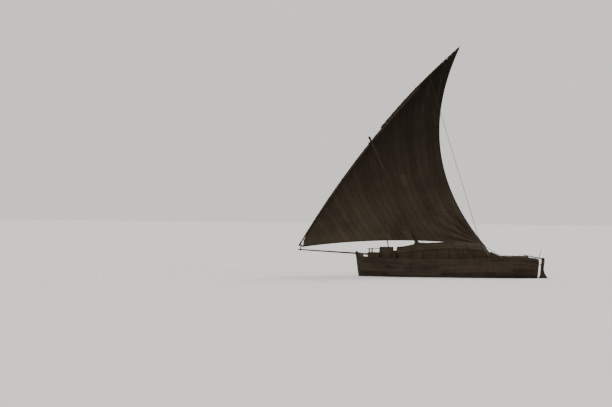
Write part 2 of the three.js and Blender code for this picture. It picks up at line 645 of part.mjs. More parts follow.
// Columns: share of the yard, distance of the luff from the yard's middle line
const LUFF_SET = [
  [0, 400],
  [0.1, 165],
  [0.25, 97],
  [0.5, 112],
  [0.7, 88],
  [0.78, 92],
  [1, 60],
];
const luffPoint = (v) => {
  const t = lerp(LUFF.from, LUFF.to, v);
  return yardCentre(t).addScaledVector(outward, -along(LUFF_SET, t));
};
const peak = luffPoint(1);
const leechChord = peak.clone().sub(CLEW);
const towardsBow = new THREE.Vector3(leechChord.z, 0, -leechChord.x).normalize();
const leechPoint = (v) => {
  const place = CLEW.clone().addScaledVector(leechChord, v * 0.997);
  place.addScaledVector(towardsBow, 4 * LEECH_HOLLOW * v * (1 - v));
  place.y -= 350 * Math.sin(Math.PI * v);
  return place;
};
function sailPoint(u, v) {
  const [luff, leech] = [luffPoint(v), leechPoint(v)];
  const place = luff.clone().lerp(leech, u);
  const breadth = luff.distanceTo(leech);
  place.y -= BELLY * breadth * Math.sin(Math.PI * u ** 0.8) * (0.55 + 0.45 * Math.min(1, 4 * v));
  place.z += 4 * FOOT_ARCH * u * (1 - u) * (1 - v) ** 6;
  return place;
}
const sailRings = Array.from({ length: SAIL_ROWS + 1 }, (_, row) => {
  const v = row / SAIL_ROWS;
  const face = Array.from({ length: SAIL_COLUMNS + 1 }, (_, column) => sailPoint(column / SAIL_COLUMNS, v).toArray());
  const back = face.map(([x, y, z]) => [x, y - SAIL_THICK, z]);
  return [...face, ...back.reverse()];
});
// The head of the sail is cut away round the sling, so that it swings clear of the loop.
const slingRoom = new THREE.CylinderGeometry(SLING_ROOM.radius, SLING_ROOM.radius, SLING_ROOM.length, 20);
const yardFit = spar(yardShares.map(yardCentre), yardShares.map((t) => yardRadius(t) + GAP), 12);
const slingNotch = onSwing(slingRoom.rotateX(Math.PI / 2), sling);
add("sail", loft(sailRings).subtract(slingNotch).subtract(yardFit), CANVAS, rig);

// A flat rope loop with rounded corners, in plan
function loopShape(x0, x1, y0, y1, corner) {
  const shape = new THREE.Shape();
  shape.moveTo(x0 + corner, y0);
  shape.lineTo(x1 - corner, y0);
  shape.absarc(x1 - corner, y0 + corner, corner, -Math.PI / 2, 0);
  shape.lineTo(x1, y1 - corner);
  shape.absarc(x1 - corner, y1 - corner, corner, 0, Math.PI / 2);
  shape.lineTo(x0 + corner, y1);
  shape.absarc(x0 + corner, y1 - corner, corner, Math.PI / 2, Math.PI);
  shape.lineTo(x0, y0 + corner);
  shape.absarc(x0 + corner, y0 + corner, corner, Math.PI, 1.5 * Math.PI);
  return shape;
}

// Sling: a rope loop round the mast and the yard where they cross
const SLING = { fore: 200, aft: 215, mastSide: MAST.headRadius + 0.8, yardSide: 134, rope: 40, height: 60 };
const slingInner = loopShape(
  sling.x - SLING.aft, sling.x + SLING.fore, sling.y - SLING.yardSide, SLING.mastSide, 30);
const slingOuter = loopShape(
  sling.x - SLING.aft - SLING.rope,
  sling.x + SLING.fore + SLING.rope,
  sling.y - SLING.yardSide - SLING.rope,
  SLING.mastSide + SLING.rope,
  60,
);
slingOuter.holes.push(slingInner);
add("yard_sling", plate(slingOuter, sling.z - SLING.height / 2, sling.z + SLING.height / 2), CORDAGE);

// Tack strop: a loop round the yard's heel, joined to a collar on the bowsprit's end
const STROP = { rim: 110, height: 50, collar: 84, collarLength: 60 };
const stropHole = (SERVICE.radius + GAP) / Math.cos(Math.PI / (2 * SERVICE.segments));
const strop = new THREE.Shape().absarc(0, 0, STROP.rim, 0, 2 * Math.PI);
strop.holes.push(new THREE.Path().absarc(0, 0, stropHole, 0, 2 * Math.PI));
const collarEnds = [-1, 1].map((end) => spritPoint(heelRing.x + (end * STROP.collarLength) / 2));
const collar = spar(collarEnds, STROP.collar, 16);
const spritFit = spar(spritEnds.map(spritPoint), spritEnds.map((x) => spritRadius(x) + GAP), 12);
const link = block(
  heelRing.x - 22,
  heelRing.x + 22,
  heelRing.y + stropHole + 5,
  heelRing.y + STROP.rim - 3,
  spritZ(heelRing.x) + 30,
  heelRing.z,
);
const stropRing = onSwing(plateGeometry(strop, -STROP.height / 2, STROP.height / 2, SERVICE.segments), heelRing);
add("tack_strop", stropRing.add(link).add(collar).subtract(spritFit), CORDAGE);

// Port stays and the halyard. They are cut to the mast's side above and to what holds them below.
const railFoot = (x) => [x, halfAt(x) - 40, sheerAt(x) + CAP.height - 25];
const blockShape = (at) => solid(new THREE.SphereGeometry(1, 8, 6).scale(70, 55, 150).translate(at.x, at.y, at.z));
// Columns: name, points from the masthead down, height of the block on it
const STAYS = [
  ["stay_fore", [[6560, 60, 11330], railFoot(4950)], 5450],
  ["stay_aft", [[6560, 60, 11480], railFoot(-2650)], 2900],
  ["runner", [[6480, 60, 11200], railFoot(-1450)], 8940],
];
for (const [name, ends, blockHeight] of STAYS) {
  const [top, bottom] = ends.map((end) => new THREE.Vector3(...end));
  const at = top.clone().lerp(bottom, (top.z - blockHeight) / (top.z - bottom.z));
  const rope = spar([top, bottom], ROPE);
  add(name, rope.add(blockShape(at)).subtract(mastFit).subtract(capFitPort), CORDAGE);
}

const HALYARD_POST = { x: 1500, half: 90, top: 2000 };
const { x: postX, half: postHalf, top: postTop } = HALYARD_POST;
const halyardPost = (larger) =>
  block(postX - postHalf, postX + postHalf, -postHalf, postHalf, beamTop + GAP, postTop + larger);
add("halyard_post", halyardPost(0), TIMBER);
const halyardPoints = [[6560, 0, 11540], [2550, 0, 3860], [postX, 0, postTop - 30]];
const halyardRope = spar(halyardPoints.map((point) => new THREE.Vector3(...point)), ROPE);
const halyardBlock = blockShape(new THREE.Vector3(2550, 0, 3860));
add("halyard", halyardRope.add(halyardBlock).subtract(mastFit).subtract(halyardPost(GAP)), CORDAGE);

// Gudgeons: a strap on each side of the sternpost, closing to an eye on the rudder's axis
function gudgeonShape() {
  const [strapHalf, reach] = [POST_HALF + 13, 110];
  const shape = new THREE.Shape();
  shape.moveTo(reach, strapHalf);
  shape.lineTo(-14, strapHalf);
  shape.absarc(-AXIS_AFT, 0, EYE.rim, Math.PI / 3, (5 * Math.PI) / 3);
  shape.lineTo(-14, -strapHalf);
  shape.lineTo(reach, -strapHalf);
  shape.lineTo(reach, -POST_HALF - GAP);
  shape.lineTo(-GAP, -POST_HALF - GAP);
  shape.lineTo(-GAP, POST_HALF + GAP);
  shape.lineTo(reach, POST_HALF + GAP);
  shape.holes.push(new THREE.Path().absarc(-AXIS_AFT, 0, EYE.hole, 0, 2 * Math.PI));
  return shape;
}
for (const [name, height] of GUDGEONS) {
  add(name, plate(gudgeonShape(), height - EYE.height / 2, height + EYE.height / 2), IRON, stern);
}

// Rudder: a thick stock that widens to a broad blade, with a pin at each gudgeon
const STOCK_FORE = -170;
const BLADE_FORE = -55;
const HEAD = { top: 1655, tenonTop: 1800, from: -385, to: -215, half: 42 };
const rudderShape = new THREE.Shape();
rudderShape.moveTo(STOCK_FORE, HEAD.top);
rudderShape.lineTo(STOCK_FORE, 230);
rudderShape.lineTo(BLADE_FORE, 60);
rudderShape.lineTo(BLADE_FORE, -1290);
rudderShape.lineTo(-1150, -1230);
rudderShape.quadraticCurveTo(-1230, -700, -1040, -250);
rudderShape.quadraticCurveTo(-900, 60, -760, 240);
rudderShape.quadraticCurveTo(-470, 560, -450, 900);
rudderShape.lineTo(-470, HEAD.top);
const pin = (z0, z1) =>
  solid(new THREE.CylinderGeometry(PIN_RADIUS, PIN_RADIUS, z1 - z0, 12).rotateX(Math.PI / 2)
    .translate(-AXIS_AFT, 0, (z0 + z1) / 2));
const [upperEye, lowerEye] = GUDGEONS.map((row) => row[1]);
const eyeHalf = EYE.height / 2;
const notch = block(-155, 0, -RUDDER_HALF - 1, RUDDER_HALF + 1, lowerEye - eyeHalf - 12, lowerEye + eyeHalf + 4);
const pintleArm = block(-260, -AXIS_AFT + 22, -24, 24, upperEye + eyeHalf + 0.4, upperEye + eyeHalf + 54);
const tenon = block(HEAD.from, HEAD.to, -HEAD.half, HEAD.half, HEAD.top - 20, HEAD.tenonTop);
const bladeFace = solid(
  new THREE.CylinderGeometry(AXIS_AFT - 22, AXIS_AFT - 22, 1400, 20).rotateX(Math.PI / 2)
    .translate(-AXIS_AFT, 0, -615),
);
const axisZone = block(-AXIS_AFT, 10, -100, 100, -1310, 75);
const roundedEdge = axisZone.subtract(bladeFace);
const rudder = slab(rudderShape, -RUDDER_HALF, RUDDER_HALF)
  .subtract(roundedEdge)
  .subtract(notch)
  .add(pin(lowerEye - eyeHalf - 6, lowerEye + eyeHalf + 60))
  .add(pintleArm)
  .add(pin(upperEye - eyeHalf - 10, upperEye + eyeHalf + 20))
  .add(tenon);
add("rudder", rudder, TIMBER, stern);

// Tiller: a socket over the rudder head, and a bar that leads forward over the stern rail
const TILLER = { reach: 1480, half: 38, socketTop: 1775, socketHalf: 85, rise: 150 };
const socket = block(-430, -170, -TILLER.socketHalf, TILLER.socketHalf, HEAD.top + GAP, TILLER.socketTop);
const socketHole = block(
  HEAD.from - GAP, HEAD.to + GAP, -HEAD.half - GAP, HEAD.half + GAP, HEAD.top - 10, HEAD.tenonTop + 10);
const barOutline = [
  [-200, HEAD.top + 30],
  [-200, TILLER.socketTop],
  [TILLER.reach, TILLER.socketTop + TILLER.rise],
  [TILLER.reach, TILLER.socketTop + TILLER.rise - 62],
];
const bar = slab(barOutline, -TILLER.half, TILLER.half);
add("tiller", socket.add(bar).subtract(socketHole), TIMBER, stern);

export default dhow;
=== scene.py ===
# %% [markdown]
# # A cargo dhow under one lateen sail
#
# The boat comes in as a fixed frame of plain solids, in metres: +X is the bow, +Y is port, +Z is up, and
# the origin lies amidships at the waterline. This lesson dresses that frame. Each step says what the piece
# is on a real boat, how it could be made, and why one way was chosen.

# %% Load the frame
import math

import bmesh
import bpy
import numpy as np
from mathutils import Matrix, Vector


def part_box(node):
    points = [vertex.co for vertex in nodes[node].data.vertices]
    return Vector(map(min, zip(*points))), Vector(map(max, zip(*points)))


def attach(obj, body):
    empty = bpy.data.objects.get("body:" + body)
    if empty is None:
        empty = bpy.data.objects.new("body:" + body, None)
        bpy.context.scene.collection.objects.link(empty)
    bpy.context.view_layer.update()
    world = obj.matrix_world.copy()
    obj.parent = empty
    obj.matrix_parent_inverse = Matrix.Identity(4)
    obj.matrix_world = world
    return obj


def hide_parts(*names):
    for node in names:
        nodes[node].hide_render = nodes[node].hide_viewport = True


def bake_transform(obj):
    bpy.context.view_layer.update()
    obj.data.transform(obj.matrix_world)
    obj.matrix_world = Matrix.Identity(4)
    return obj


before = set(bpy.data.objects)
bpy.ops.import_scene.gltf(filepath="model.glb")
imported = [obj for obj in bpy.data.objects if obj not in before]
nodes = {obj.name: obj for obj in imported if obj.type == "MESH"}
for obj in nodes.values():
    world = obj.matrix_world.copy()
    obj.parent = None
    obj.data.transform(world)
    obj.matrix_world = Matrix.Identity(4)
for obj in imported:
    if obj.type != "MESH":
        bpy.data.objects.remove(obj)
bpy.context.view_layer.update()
random = np.random.default_rng(7)

# %% [markdown]
# ## The camera
#
# The boat was seen from far away, broadside on, through a long lens. At 200 m the lens is 134.6 mm on a
# 36 mm sensor, because the hull spans 183 of the picture's 612 pixels and measures 16 m. The eye is 5.1 m
# above the waterline, so it looks a little down on the decks, and a small roll tilts the boat as it lies in
# the picture.

# %% Place the camera
FRAME_WIDTH, FRAME_HEIGHT = 612, 407  # pixels
ORIGIN_PIXEL = (447.0, 277.0)  # where the boat's origin falls
DISTANCE = 200.0
EYE_HEIGHT = 5.14
LENS = 134.6
SENSOR = 36.0
ROLL = math.radians(0.59)


def linked(name, data):
    """A new object in the scene."""
    made = bpy.data.objects.new(name, data)
    bpy.context.scene.collection.objects.link(made)
    return made


def add_camera():
    """The camera looks along -Y. The origin's pixel is first turned back by the roll about the picture's
    middle. Its distances from the middle, as angles of the lens, are then how far the camera turns to the
    bow and up."""
    right, below = ORIGIN_PIXEL[0] - FRAME_WIDTH / 2, ORIGIN_PIXEL[1] - FRAME_HEIGHT / 2
    level_right = right * math.cos(ROLL) + below * math.sin(ROLL)
    level_below = below * math.cos(ROLL) - right * math.sin(ROLL)
    pixel = SENSOR / LENS / FRAME_WIDTH
    turn = math.atan(level_right * pixel)
    rise = math.atan(level_below * pixel) - math.atan(EYE_HEIGHT / DISTANCE)
    made = linked("camera", bpy.data.cameras.new("camera"))
    made.data.lens = LENS
    made.data.sensor_width = SENSOR
    made.data.clip_end = 2000
    made.location = (0, DISTANCE, EYE_HEIGHT)
    made.rotation_euler = (math.radians(90) + rise, 0, math.radians(180) + turn)
    made.rotation_euler.rotate_axis("Z", ROLL)
    bpy.context.scene.camera = made
    return made


camera = add_camera()
print("camera at", [round(v, 2) for v in camera.location])

# %% [markdown]
# ## Helpers that turn arrays into meshes
#
# Nearly every piece of a wooden boat is a section carried along a line: a plank, a spar, a rope. `runs`
# takes all the sections of many such pieces in one array and writes them as one mesh, with no loop over
# points. Its texture coordinates are in metres, along the piece and round it, so that grain, weave and rope
# lay keep their real scale.


# %% Meshes from arrays
def mark_points(mesh, name, values):
    """Stores a number at each point, for a finish to read."""
    marks = mesh.attributes.new(name, "FLOAT", "POINT")
    marks.data.foreach_set("value", np.asarray(values, np.float32))


def points_of(mesh):
    """The mesh's points as rows."""
    points = np.empty(len(mesh.vertices) * 3)
    mesh.vertices.foreach_get("co", points)
    return points.reshape(-1, 3)


def make_object(name, verts, corners, sizes, uvs=None, tones=None):
    """A mesh object from points, the corner numbers of all faces in one row, and each face's corner count."""
    mesh = bpy.data.meshes.new(name)
    mesh.vertices.add(len(verts))
    mesh.vertices.foreach_set("co", np.asarray(verts, np.float32).ravel())
    mesh.loops.add(len(corners))
    mesh.loops.foreach_set("vertex_index", np.asarray(corners, np.int32))
    mesh.polygons.add(len(sizes))
    starts = np.concatenate([[0], np.cumsum(sizes)[:-1]])
    mesh.polygons.foreach_set("loop_start", starts.astype(np.int32))
    mesh.polygons.foreach_set("loop_total", np.asarray(sizes, np.int32))
    mesh.update(calc_edges=True)
    if uvs is not None:
        mesh.uv_layers.new(name="UVMap").data.foreach_set("uv", np.asarray(uvs, np.float32).ravel())
    if tones is not None:
        mark_points(mesh, "tone", tones)
    mesh.validate()
    return linked(name, mesh)


def face_outwards(piece):
    """Turns every closed part of the mesh so that its faces point out."""
    mesh = bmesh.new()
    mesh.from_mesh(piece.data)
    bmesh.ops.recalc_face_normals(mesh, faces=mesh.faces)
    mesh.to_mesh(piece.data)
    mesh.free()


# %% Runs of rings
def distances(points, axis=0):
    """How far along their line points lie. The line runs along the given axis of the array."""
    steps = np.linalg.norm(np.diff(points, axis=axis), axis=-1).cumsum(axis=axis)
    return np.concatenate([np.zeros_like(steps.take([0], axis)), steps], axis=axis)


def runs(name, rings, smooth):
    """Closed pieces, each a ring of points carried along a line and capped at both ends.
    rings has the shape pieces, stations, ring points, 3. Each piece gets its own tone from 0 to 1."""
    rings = np.asarray(rings, float)
    count, stations, around, _ = rings.shape
    number = np.arange(count * stations * around).reshape(count, stations, around)
    this, following = number[:, :-1], number[:, 1:]
    turned = np.roll(number, -1, axis=2)
    quads = np.stack([this, turned[:, :-1], turned[:, 1:], following], axis=-1)
    along = distances(rings.mean(axis=2), axis=1)
    girth = distances(np.concatenate([rings, rings[:, :, :1]], axis=2), axis=2)
    length = np.broadcast_to(along[:, :, None], (count, stations, around))
    u = np.stack([length[:, :-1], length[:, :-1], length[:, 1:], length[:, 1:]], axis=-1)
    v = np.stack([girth[:, :-1, :-1], girth[:, :-1, 1:], girth[:, 1:, 1:], girth[:, 1:, :-1]], axis=-1)
    caps = np.concatenate([number[:, 0, ::-1], number[:, -1]])
    cap_points = rings.reshape(-1, 3)[caps]
    cap_uv = cap_points[..., [1, 2]] - cap_points.mean(axis=1, keepdims=True)[..., [1, 2]]
    corners = np.concatenate([quads.ravel(), caps.ravel()])
    sizes = np.concatenate([np.full(quads.size // 4, 4), np.full(len(caps), around)])
    uvs = np.concatenate([np.stack([u, v], axis=-1).reshape(-1, 2), cap_uv.reshape(-1, 2)])
    tones = np.repeat(random.random(count), stations * around)
    piece = make_object(name, rings.reshape(-1, 3), corners, sizes, uvs, tones)
    face_outwards(piece)
    shade(piece, smooth)
    return piece


def shade(piece, angle):
    """Smooth shading, but for edges that turn by more than the angle in degrees."""
    mesh = piece.data
    mesh.polygons.foreach_set("use_smooth", np.ones(len(mesh.polygons), bool))
    mesh.set_sharp_from_angle(angle=math.radians(angle))


# %% Sections carried along paths
def unit(vectors):
    """Vectors made one long."""
    return vectors / np.maximum(np.linalg.norm(vectors, axis=-1, keepdims=True), 1e-12)


def carry(paths, sections, reference=(0, 1, 0)):
    """Rings for runs: sections, in side and up, set across paths. The side direction is the reference, made
    square to the path, and up is square to both. Sections have the shape ring points, 2, or one such set at
    each station."""
    paths = np.asarray(paths, float)
    forward = unit(np.gradient(paths, axis=-2))
    reference = np.broadcast_to(np.asarray(reference, float), paths.shape)
    side = unit(reference - forward * (reference * forward).sum(-1, keepdims=True))
    up = np.cross(forward, side)
    sections = np.asarray(sections, float)
    if sections.ndim == 2:
        sections = np.broadcast_to(sections, (*paths.shape[:-1], *sections.shape))
    return (
        paths[..., None, :]
        + side[..., None, :] * sections[..., :1]
        + up[..., None, :] * sections[..., 1:]
    )


def circle(radius, points):
    """Points round a circle; with an array of radii, one circle for each."""
    turn = np.linspace(0, 2 * np.pi, points, endpoint=False)
    ring = np.stack([np.cos(turn), np.sin(turn)], axis=-1)
    return np.asarray(radius, float)[..., None, None] * ring


def squared(half, chamfer):
    """An eight-cornered section: a rectangle of half a breadth and half a height, its corners cut off."""
    (s, u), c = half, chamfer
    right = np.array([(s - c, -u), (s, -u + c), (s, u - c), (s - c, u)])
    return np.concatenate([right, -right])


def straight(start, end, stations=2):
    """Points on the straight line between two points, or between two arrays of points."""
    share = np.linspace(0, 1, stations)[:, None]
    start, end = np.asarray(start, float)[..., None, :], np.asarray(end, float)[..., None, :]
    return start + (end - start) * share


# %% Finished pieces
def finished(piece, finish, *replaced, slot=None, body="hull"):
    """Gives a piece its material, its body if it rides on one alone, and the solids that it stands for.
    The slot is not used."""
    piece.data.materials.clear()
    piece.data.materials.append(finish)
    if body:
        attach(piece, body)
    if replaced:
        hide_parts(*replaced)
    print(f"{piece.name}: {len(piece.data.polygons)} faces")
    return piece


def add_runs(name, rings, finish, *replaced, smooth=40, slot=None, body="hull"):
    """Runs as a finished piece."""
    return finished(runs(name, rings, smooth), finish, *replaced, slot=slot, body=body)


print("helpers ready")

# %% [markdown]
# ## Shared effects as node groups
#
# Wood grain, stains and weave turn up in several finishes. These and rope lay are node groups with named
# inputs, so a finish only sets how strong and how large each is. Grain could come from the Wave texture,
# but planks cut from crooked logs look better with noise drawn out along the plank.


# %% Node helpers
def place(tree, kind, sockets=None, **settings):
    """Adds a node. Sockets are given by name or number, each a value or an output to link to."""
    made = tree.nodes.new(kind)
    for key, value in settings.items():
        setattr(made, key, value)
    for key, value in (sockets or {}).items():
        if isinstance(value, bpy.types.NodeSocket):
            tree.links.new(value, made.inputs[key])
        else:
            made.inputs[key].default_value = value
    return made


def maths(tree, operation, first, second=0.5, clamp=False):
    """The result of a Math node."""
    made = place(tree, "ShaderNodeMath", {0: first, 1: second}, operation=operation, use_clamp=clamp)
    return made.outputs[0]


def times(tree, first, second):
    """The product of two numbers."""
    return maths(tree, "MULTIPLY", first, second)


def ramp(tree, value, low, high):
    """0 below low and 1 above high, smooth between them."""
    made = place(tree, "ShaderNodeMapRange", {0: value, 1: low, 2: high}, interpolation_type="SMOOTHSTEP")
    return made.outputs[0]


def mixed(tree, share, first, second):
    """The colour between two colours."""
    colours = [value if isinstance(value, bpy.types.NodeSocket) else (*value, 1) for value in (first, second)]
    made = place(tree, "ShaderNodeMix", {0: share, 6: colours[0], 7: colours[1]}, data_type="RGBA")
    return made.outputs[2]


def layered(tree, colour, *layers):
    """Lays colours over a colour. Each layer is a mask from 0 to 1, its strength and its colour."""
    for mask, strength, tint in layers:
        colour = mixed(tree, times(tree, mask, strength), colour, tint)
    return colour


# %% Textures and vectors
def noise(tree, vector, scale, detail=4.0, rough=0.6):
    """The value of a Noise texture."""
    sockets = {"Vector": vector, "Scale": scale, "Detail": detail, "Roughness": rough}
    return place(tree, "ShaderNodeTexNoise", sockets).outputs["Fac"]


def stretched(tree, vector, scale):
    """A vector multiplied by three numbers."""
    return place(tree, "ShaderNodeVectorMath", {0: vector, 1: scale}, operation="MULTIPLY").outputs[0]


def scaled(tree, vector, scale):
    """A vector multiplied by one number."""
    return place(tree, "ShaderNodeVectorMath", {0: vector, "Scale": scale}, operation="SCALE").outputs[0]


def parts_of(tree, vector):
    """The three numbers of a vector."""
    return place(tree, "ShaderNodeSeparateXYZ", {0: vector}).outputs


def marked(tree, name):
    """The number that mark_points stored under a name."""
    return place(tree, "ShaderNodeAttribute", attribute_name=name).outputs["Fac"]


# %% Four node groups
def group(name, inputs, outputs):
    """An empty node group with named float or vector inputs and outputs, and its two end nodes."""
    tree = bpy.data.node_groups.new(name, "ShaderNodeTree")
    for title, value in inputs.items():
        kind = "NodeSocketVector" if value is None else "NodeSocketFloat"
        socket = tree.interface.new_socket(name=title, in_out="INPUT", socket_type=kind)
        if value is not None:
            socket.default_value = value
    for title in outputs:
        tree.interface.new_socket(name=title, in_out="OUTPUT", socket_type="NodeSocketFloat")
    return tree, tree.nodes.new("NodeGroupInput").outputs, tree.nodes.new("NodeGroupOutput").inputs


def grain_group():
    """Grain: fine noise drawn out along the wood, and long dark cracks where a second noise is close to its
    middle."""
    tree, given, out = group("grain", {"Vector": None, "Fineness": 1.0, "Cracks": 0.5}, ["Tone", "Height"])
    fine = scaled(tree, given[0], given[1])
    lines = noise(tree, stretched(tree, fine, (0.9, 16.0, 16.0)), 1.6, 6.0, 0.65)
    long_noise = noise(tree, stretched(tree, fine, (0.35, 9.0, 9.0)), 1.1, 3.0, 0.55)
    away = maths(tree, "ABSOLUTE", maths(tree, "SUBTRACT", long_noise, 0.5))
    crack = times(tree, ramp(tree, away, 0.012, 0.0), given[2])
    tree.links.new(maths(tree, "SUBTRACT", lines, times(tree, crack, 0.6), True), out[0])
    tree.links.new(maths(tree, "SUBTRACT", times(tree, lines, 0.35), crack), out[1])
    return tree


def stain_group():
    """Stain: broad patches, and runs that hang down because their noise is drawn out in height."""
    tree, given, out = group("stain", {"Vector": None, "Size": 1.0}, ["Patch", "Runs"])
    sized = scaled(tree, given[0], given[1])
    tree.links.new(ramp(tree, noise(tree, sized, 0.9, 5.0, 0.62), 0.38, 0.66), out[0])
    runs_noise = noise(tree, stretched(tree, sized, (5.0, 5.0, 0.45)), 1.3, 4.0, 0.6)
    tree.links.new(ramp(tree, runs_noise, 0.5, 0.72), out[1])
    return tree


def weave_group():
    """Weave: strands that pass over and under each other, as the product of two sines a strand wide."""
    tree, given, out = group("weave", {"Vector": None, "Strand": 0.02}, ["Height", "Side"])
    turns = maths(tree, "DIVIDE", math.pi, given[1])
    waves = [maths(tree, "SINE", times(tree, part, turns)) for part in parts_of(tree, given[0])[:2]]
    product = times(tree, *waves)
    tree.links.new(maths(tree, "ABSOLUTE", product), out[0])
    tree.links.new(ramp(tree, product, -0.3, 0.3), out[1])
    return tree


def lay_group():
    """Lay: strands of a rope run slantwise round it, as a sine of length along plus distance round."""
    tree, given, out = group("lay", {"Vector": None, "Strand": 0.02}, ["Height"])
    slant = maths(tree, "ADD", *parts_of(tree, given[0])[:2])
    turned = times(tree, slant, maths(tree, "DIVIDE", math.pi, given[1]))
    tree.links.new(maths(tree, "ABSOLUTE", maths(tree, "SINE", turned)), out[0])
    return tree


GRAIN, STAIN, WEAVE, LAY = grain_group(), stain_group(), weave_group(), lay_group()
print("node groups:", [tree.name for tree in (GRAIN, STAIN, WEAVE, LAY)])

# %% [markdown]
# ## Finishes
#
# Against the light the boat reads as near-black brown wood under a dark brown-grey sail. The wood is oiled
# with fish oil, which darkens it and leaves it dull. Every plank has its own tone from the mesh attribute
# `tone`, since planks of one boat come from many logs. Below the waterline the bottom is pale with lime
# and tallow. Pictures of wood would do too, but noise never repeats.


# %% Materials
def add_group(tree, effect, **sockets):
    """Places a node group in a material."""
    return place(tree, "ShaderNodeGroup", sockets, node_tree=effect).outputs


def finish(name, roughness=0.8, **constants):
    """A material with a Principled shader. Returns it with its tree, shader, UV and Object coordinates."""
    made = bpy.data.materials.new(name)
    made.use_nodes = True
    tree = made.node_tree
    shader = tree.nodes["Principled BSDF"]
    shader.inputs["Roughness"].default_value = roughness
    for key, value in constants.items():
        shader.inputs[key.replace("_", " ")].default_value = value
    uv = place(tree, "ShaderNodeUVMap", uv_map="UVMap").outputs[0]
    objects = place(tree, "ShaderNodeTexCoord").outputs["Object"]
    return made, tree, shader, uv, objects


def set_surface(tree, shader, colour, height, depth, **others):
    """Links the colour, the bump from a height in units of depth metres, and other inputs by name."""
    bump = place(tree, "ShaderNodeBump", {"Height": height, "Distance": depth, "Strength": 1.0})
    for key, output in {"Base Color": colour, "Normal": bump.outputs[0], **others}.items():
        tree.links.new(output, shader.inputs[key])


# %% Wood
def wood(name, dark, light, pale, cracks, fineness=1.0, limed=False):
    """Oiled wood: a tone for each piece, grain, salt-bleached patches and dark runs. Limed wood is pale
    below the waterline and dark with weed along it, but not where its points are marked dry."""
    made, tree, shader, uv, objects = finish(name, Specular_IOR_Level=0.15)
    grain = add_group(tree, GRAIN, Vector=uv, Fineness=fineness, Cracks=cracks)
    stain = add_group(tree, STAIN, Vector=objects, Size=1.0)
    tone = maths(tree, "ADD", times(tree, marked(tree, "tone"), 0.6), times(tree, grain["Tone"], 0.45))
    colour = mixed(tree, tone, dark, light)
    colour = layered(tree, colour, (stain["Patch"], 0.45, pale), (stain["Runs"], 0.4, dark))
    if limed:
        dry = marked(tree, "dry")
        wavy = maths(tree, "ADD", parts_of(tree, objects)[2], times(tree, noise(tree, objects, 1.7), 0.12))
        lime = maths(tree, "SUBTRACT", ramp(tree, wavy, 0.0, -0.05), dry, True)
        belt = ramp(tree, maths(tree, "ABSOLUTE", maths(tree, "ADD", wavy, -0.02)), 0.08, 0.0)
        weed = maths(tree, "SUBTRACT", times(tree, belt, 0.6), dry, True)
        colour = mixed(tree, lime, colour, (0.24, 0.225, 0.19))
        colour = mixed(tree, weed, colour, (0.016, 0.020, 0.010))
    rough = maths(tree, "ADD", times(tree, stain["Patch"], 0.2), 0.62)
    set_surface(tree, shader, colour, grain["Height"], 0.004, Roughness=rough)
    return made


# Columns: name, dark, light and bleached colour, strength of the cracks, fineness of the grain, limed
WOODS = [
    ("planking", (0.006, 0.0042, 0.0027), (0.046, 0.031, 0.019), (0.049, 0.039, 0.027), 0.7, 1.0, True),
    ("timber", (0.007, 0.0047, 0.003), (0.050, 0.033, 0.0205), (0.053, 0.042, 0.029), 0.8, 0.7, True),
    ("decking", (0.045, 0.031, 0.020), (0.160, 0.112, 0.070), (0.185, 0.150, 0.108), 0.8),
    ("weather_boards", (0.010, 0.0070, 0.0046), (0.060, 0.041, 0.026), (0.066, 0.053, 0.038), 0.8),
    ("pole", (0.006, 0.0041, 0.0026), (0.032, 0.021, 0.013), (0.036, 0.028, 0.020), 0.9, 0.8),
]
PLANKING, TIMBER, DECKING, BOARDS, POLE = (wood(*row) for row in WOODS)


# %% Matting
def matting():
    """Palm matting: strands over and under, bands of darker strips, and sun-bleached and sooty patches."""
    made, tree, shader, uv, objects = finish("matting", 0.92, Specular_IOR_Level=0.12)
    weave = add_group(tree, WEAVE, Vector=uv, Strand=0.02)
    stain = add_group(tree, STAIN, Vector=objects, Size=1.3)
    strips = noise(tree, stretched(tree, uv, (1.0, 30.0, 1.0)), 1.5, 2.0, 0.5)
    colour = layered(
        tree,
        mixed(tree, ramp(tree, strips, 0.3, 0.7), (0.014, 0.0104, 0.0062), (0.058, 0.044, 0.026)),
        (weave["Side"], 0.35, (0.073, 0.057, 0.035)),
        (stain["Patch"], 0.5, (0.019, 0.0148, 0.0098)),
        (stain["Runs"], 0.35, (0.009, 0.007, 0.0055)),
    )
    set_surface(tree, shader, colour, weave["Height"], 0.006)
    return made


# %% Sailcloth
CLOTH_WIDTH = 0.62  # of one width of sailcloth
PATCH_LENGTH = 1.15
UNPATCHED = 0.955  # share of a cloth's lengths that have no patch


def off_middle(tree, value):
    """How far a number's remainder lies from a half, so it is largest at whole numbers."""
    return maths(tree, "ABSOLUTE", maths(tree, "SUBTRACT", maths(tree, "FRACT", value), 0.5))


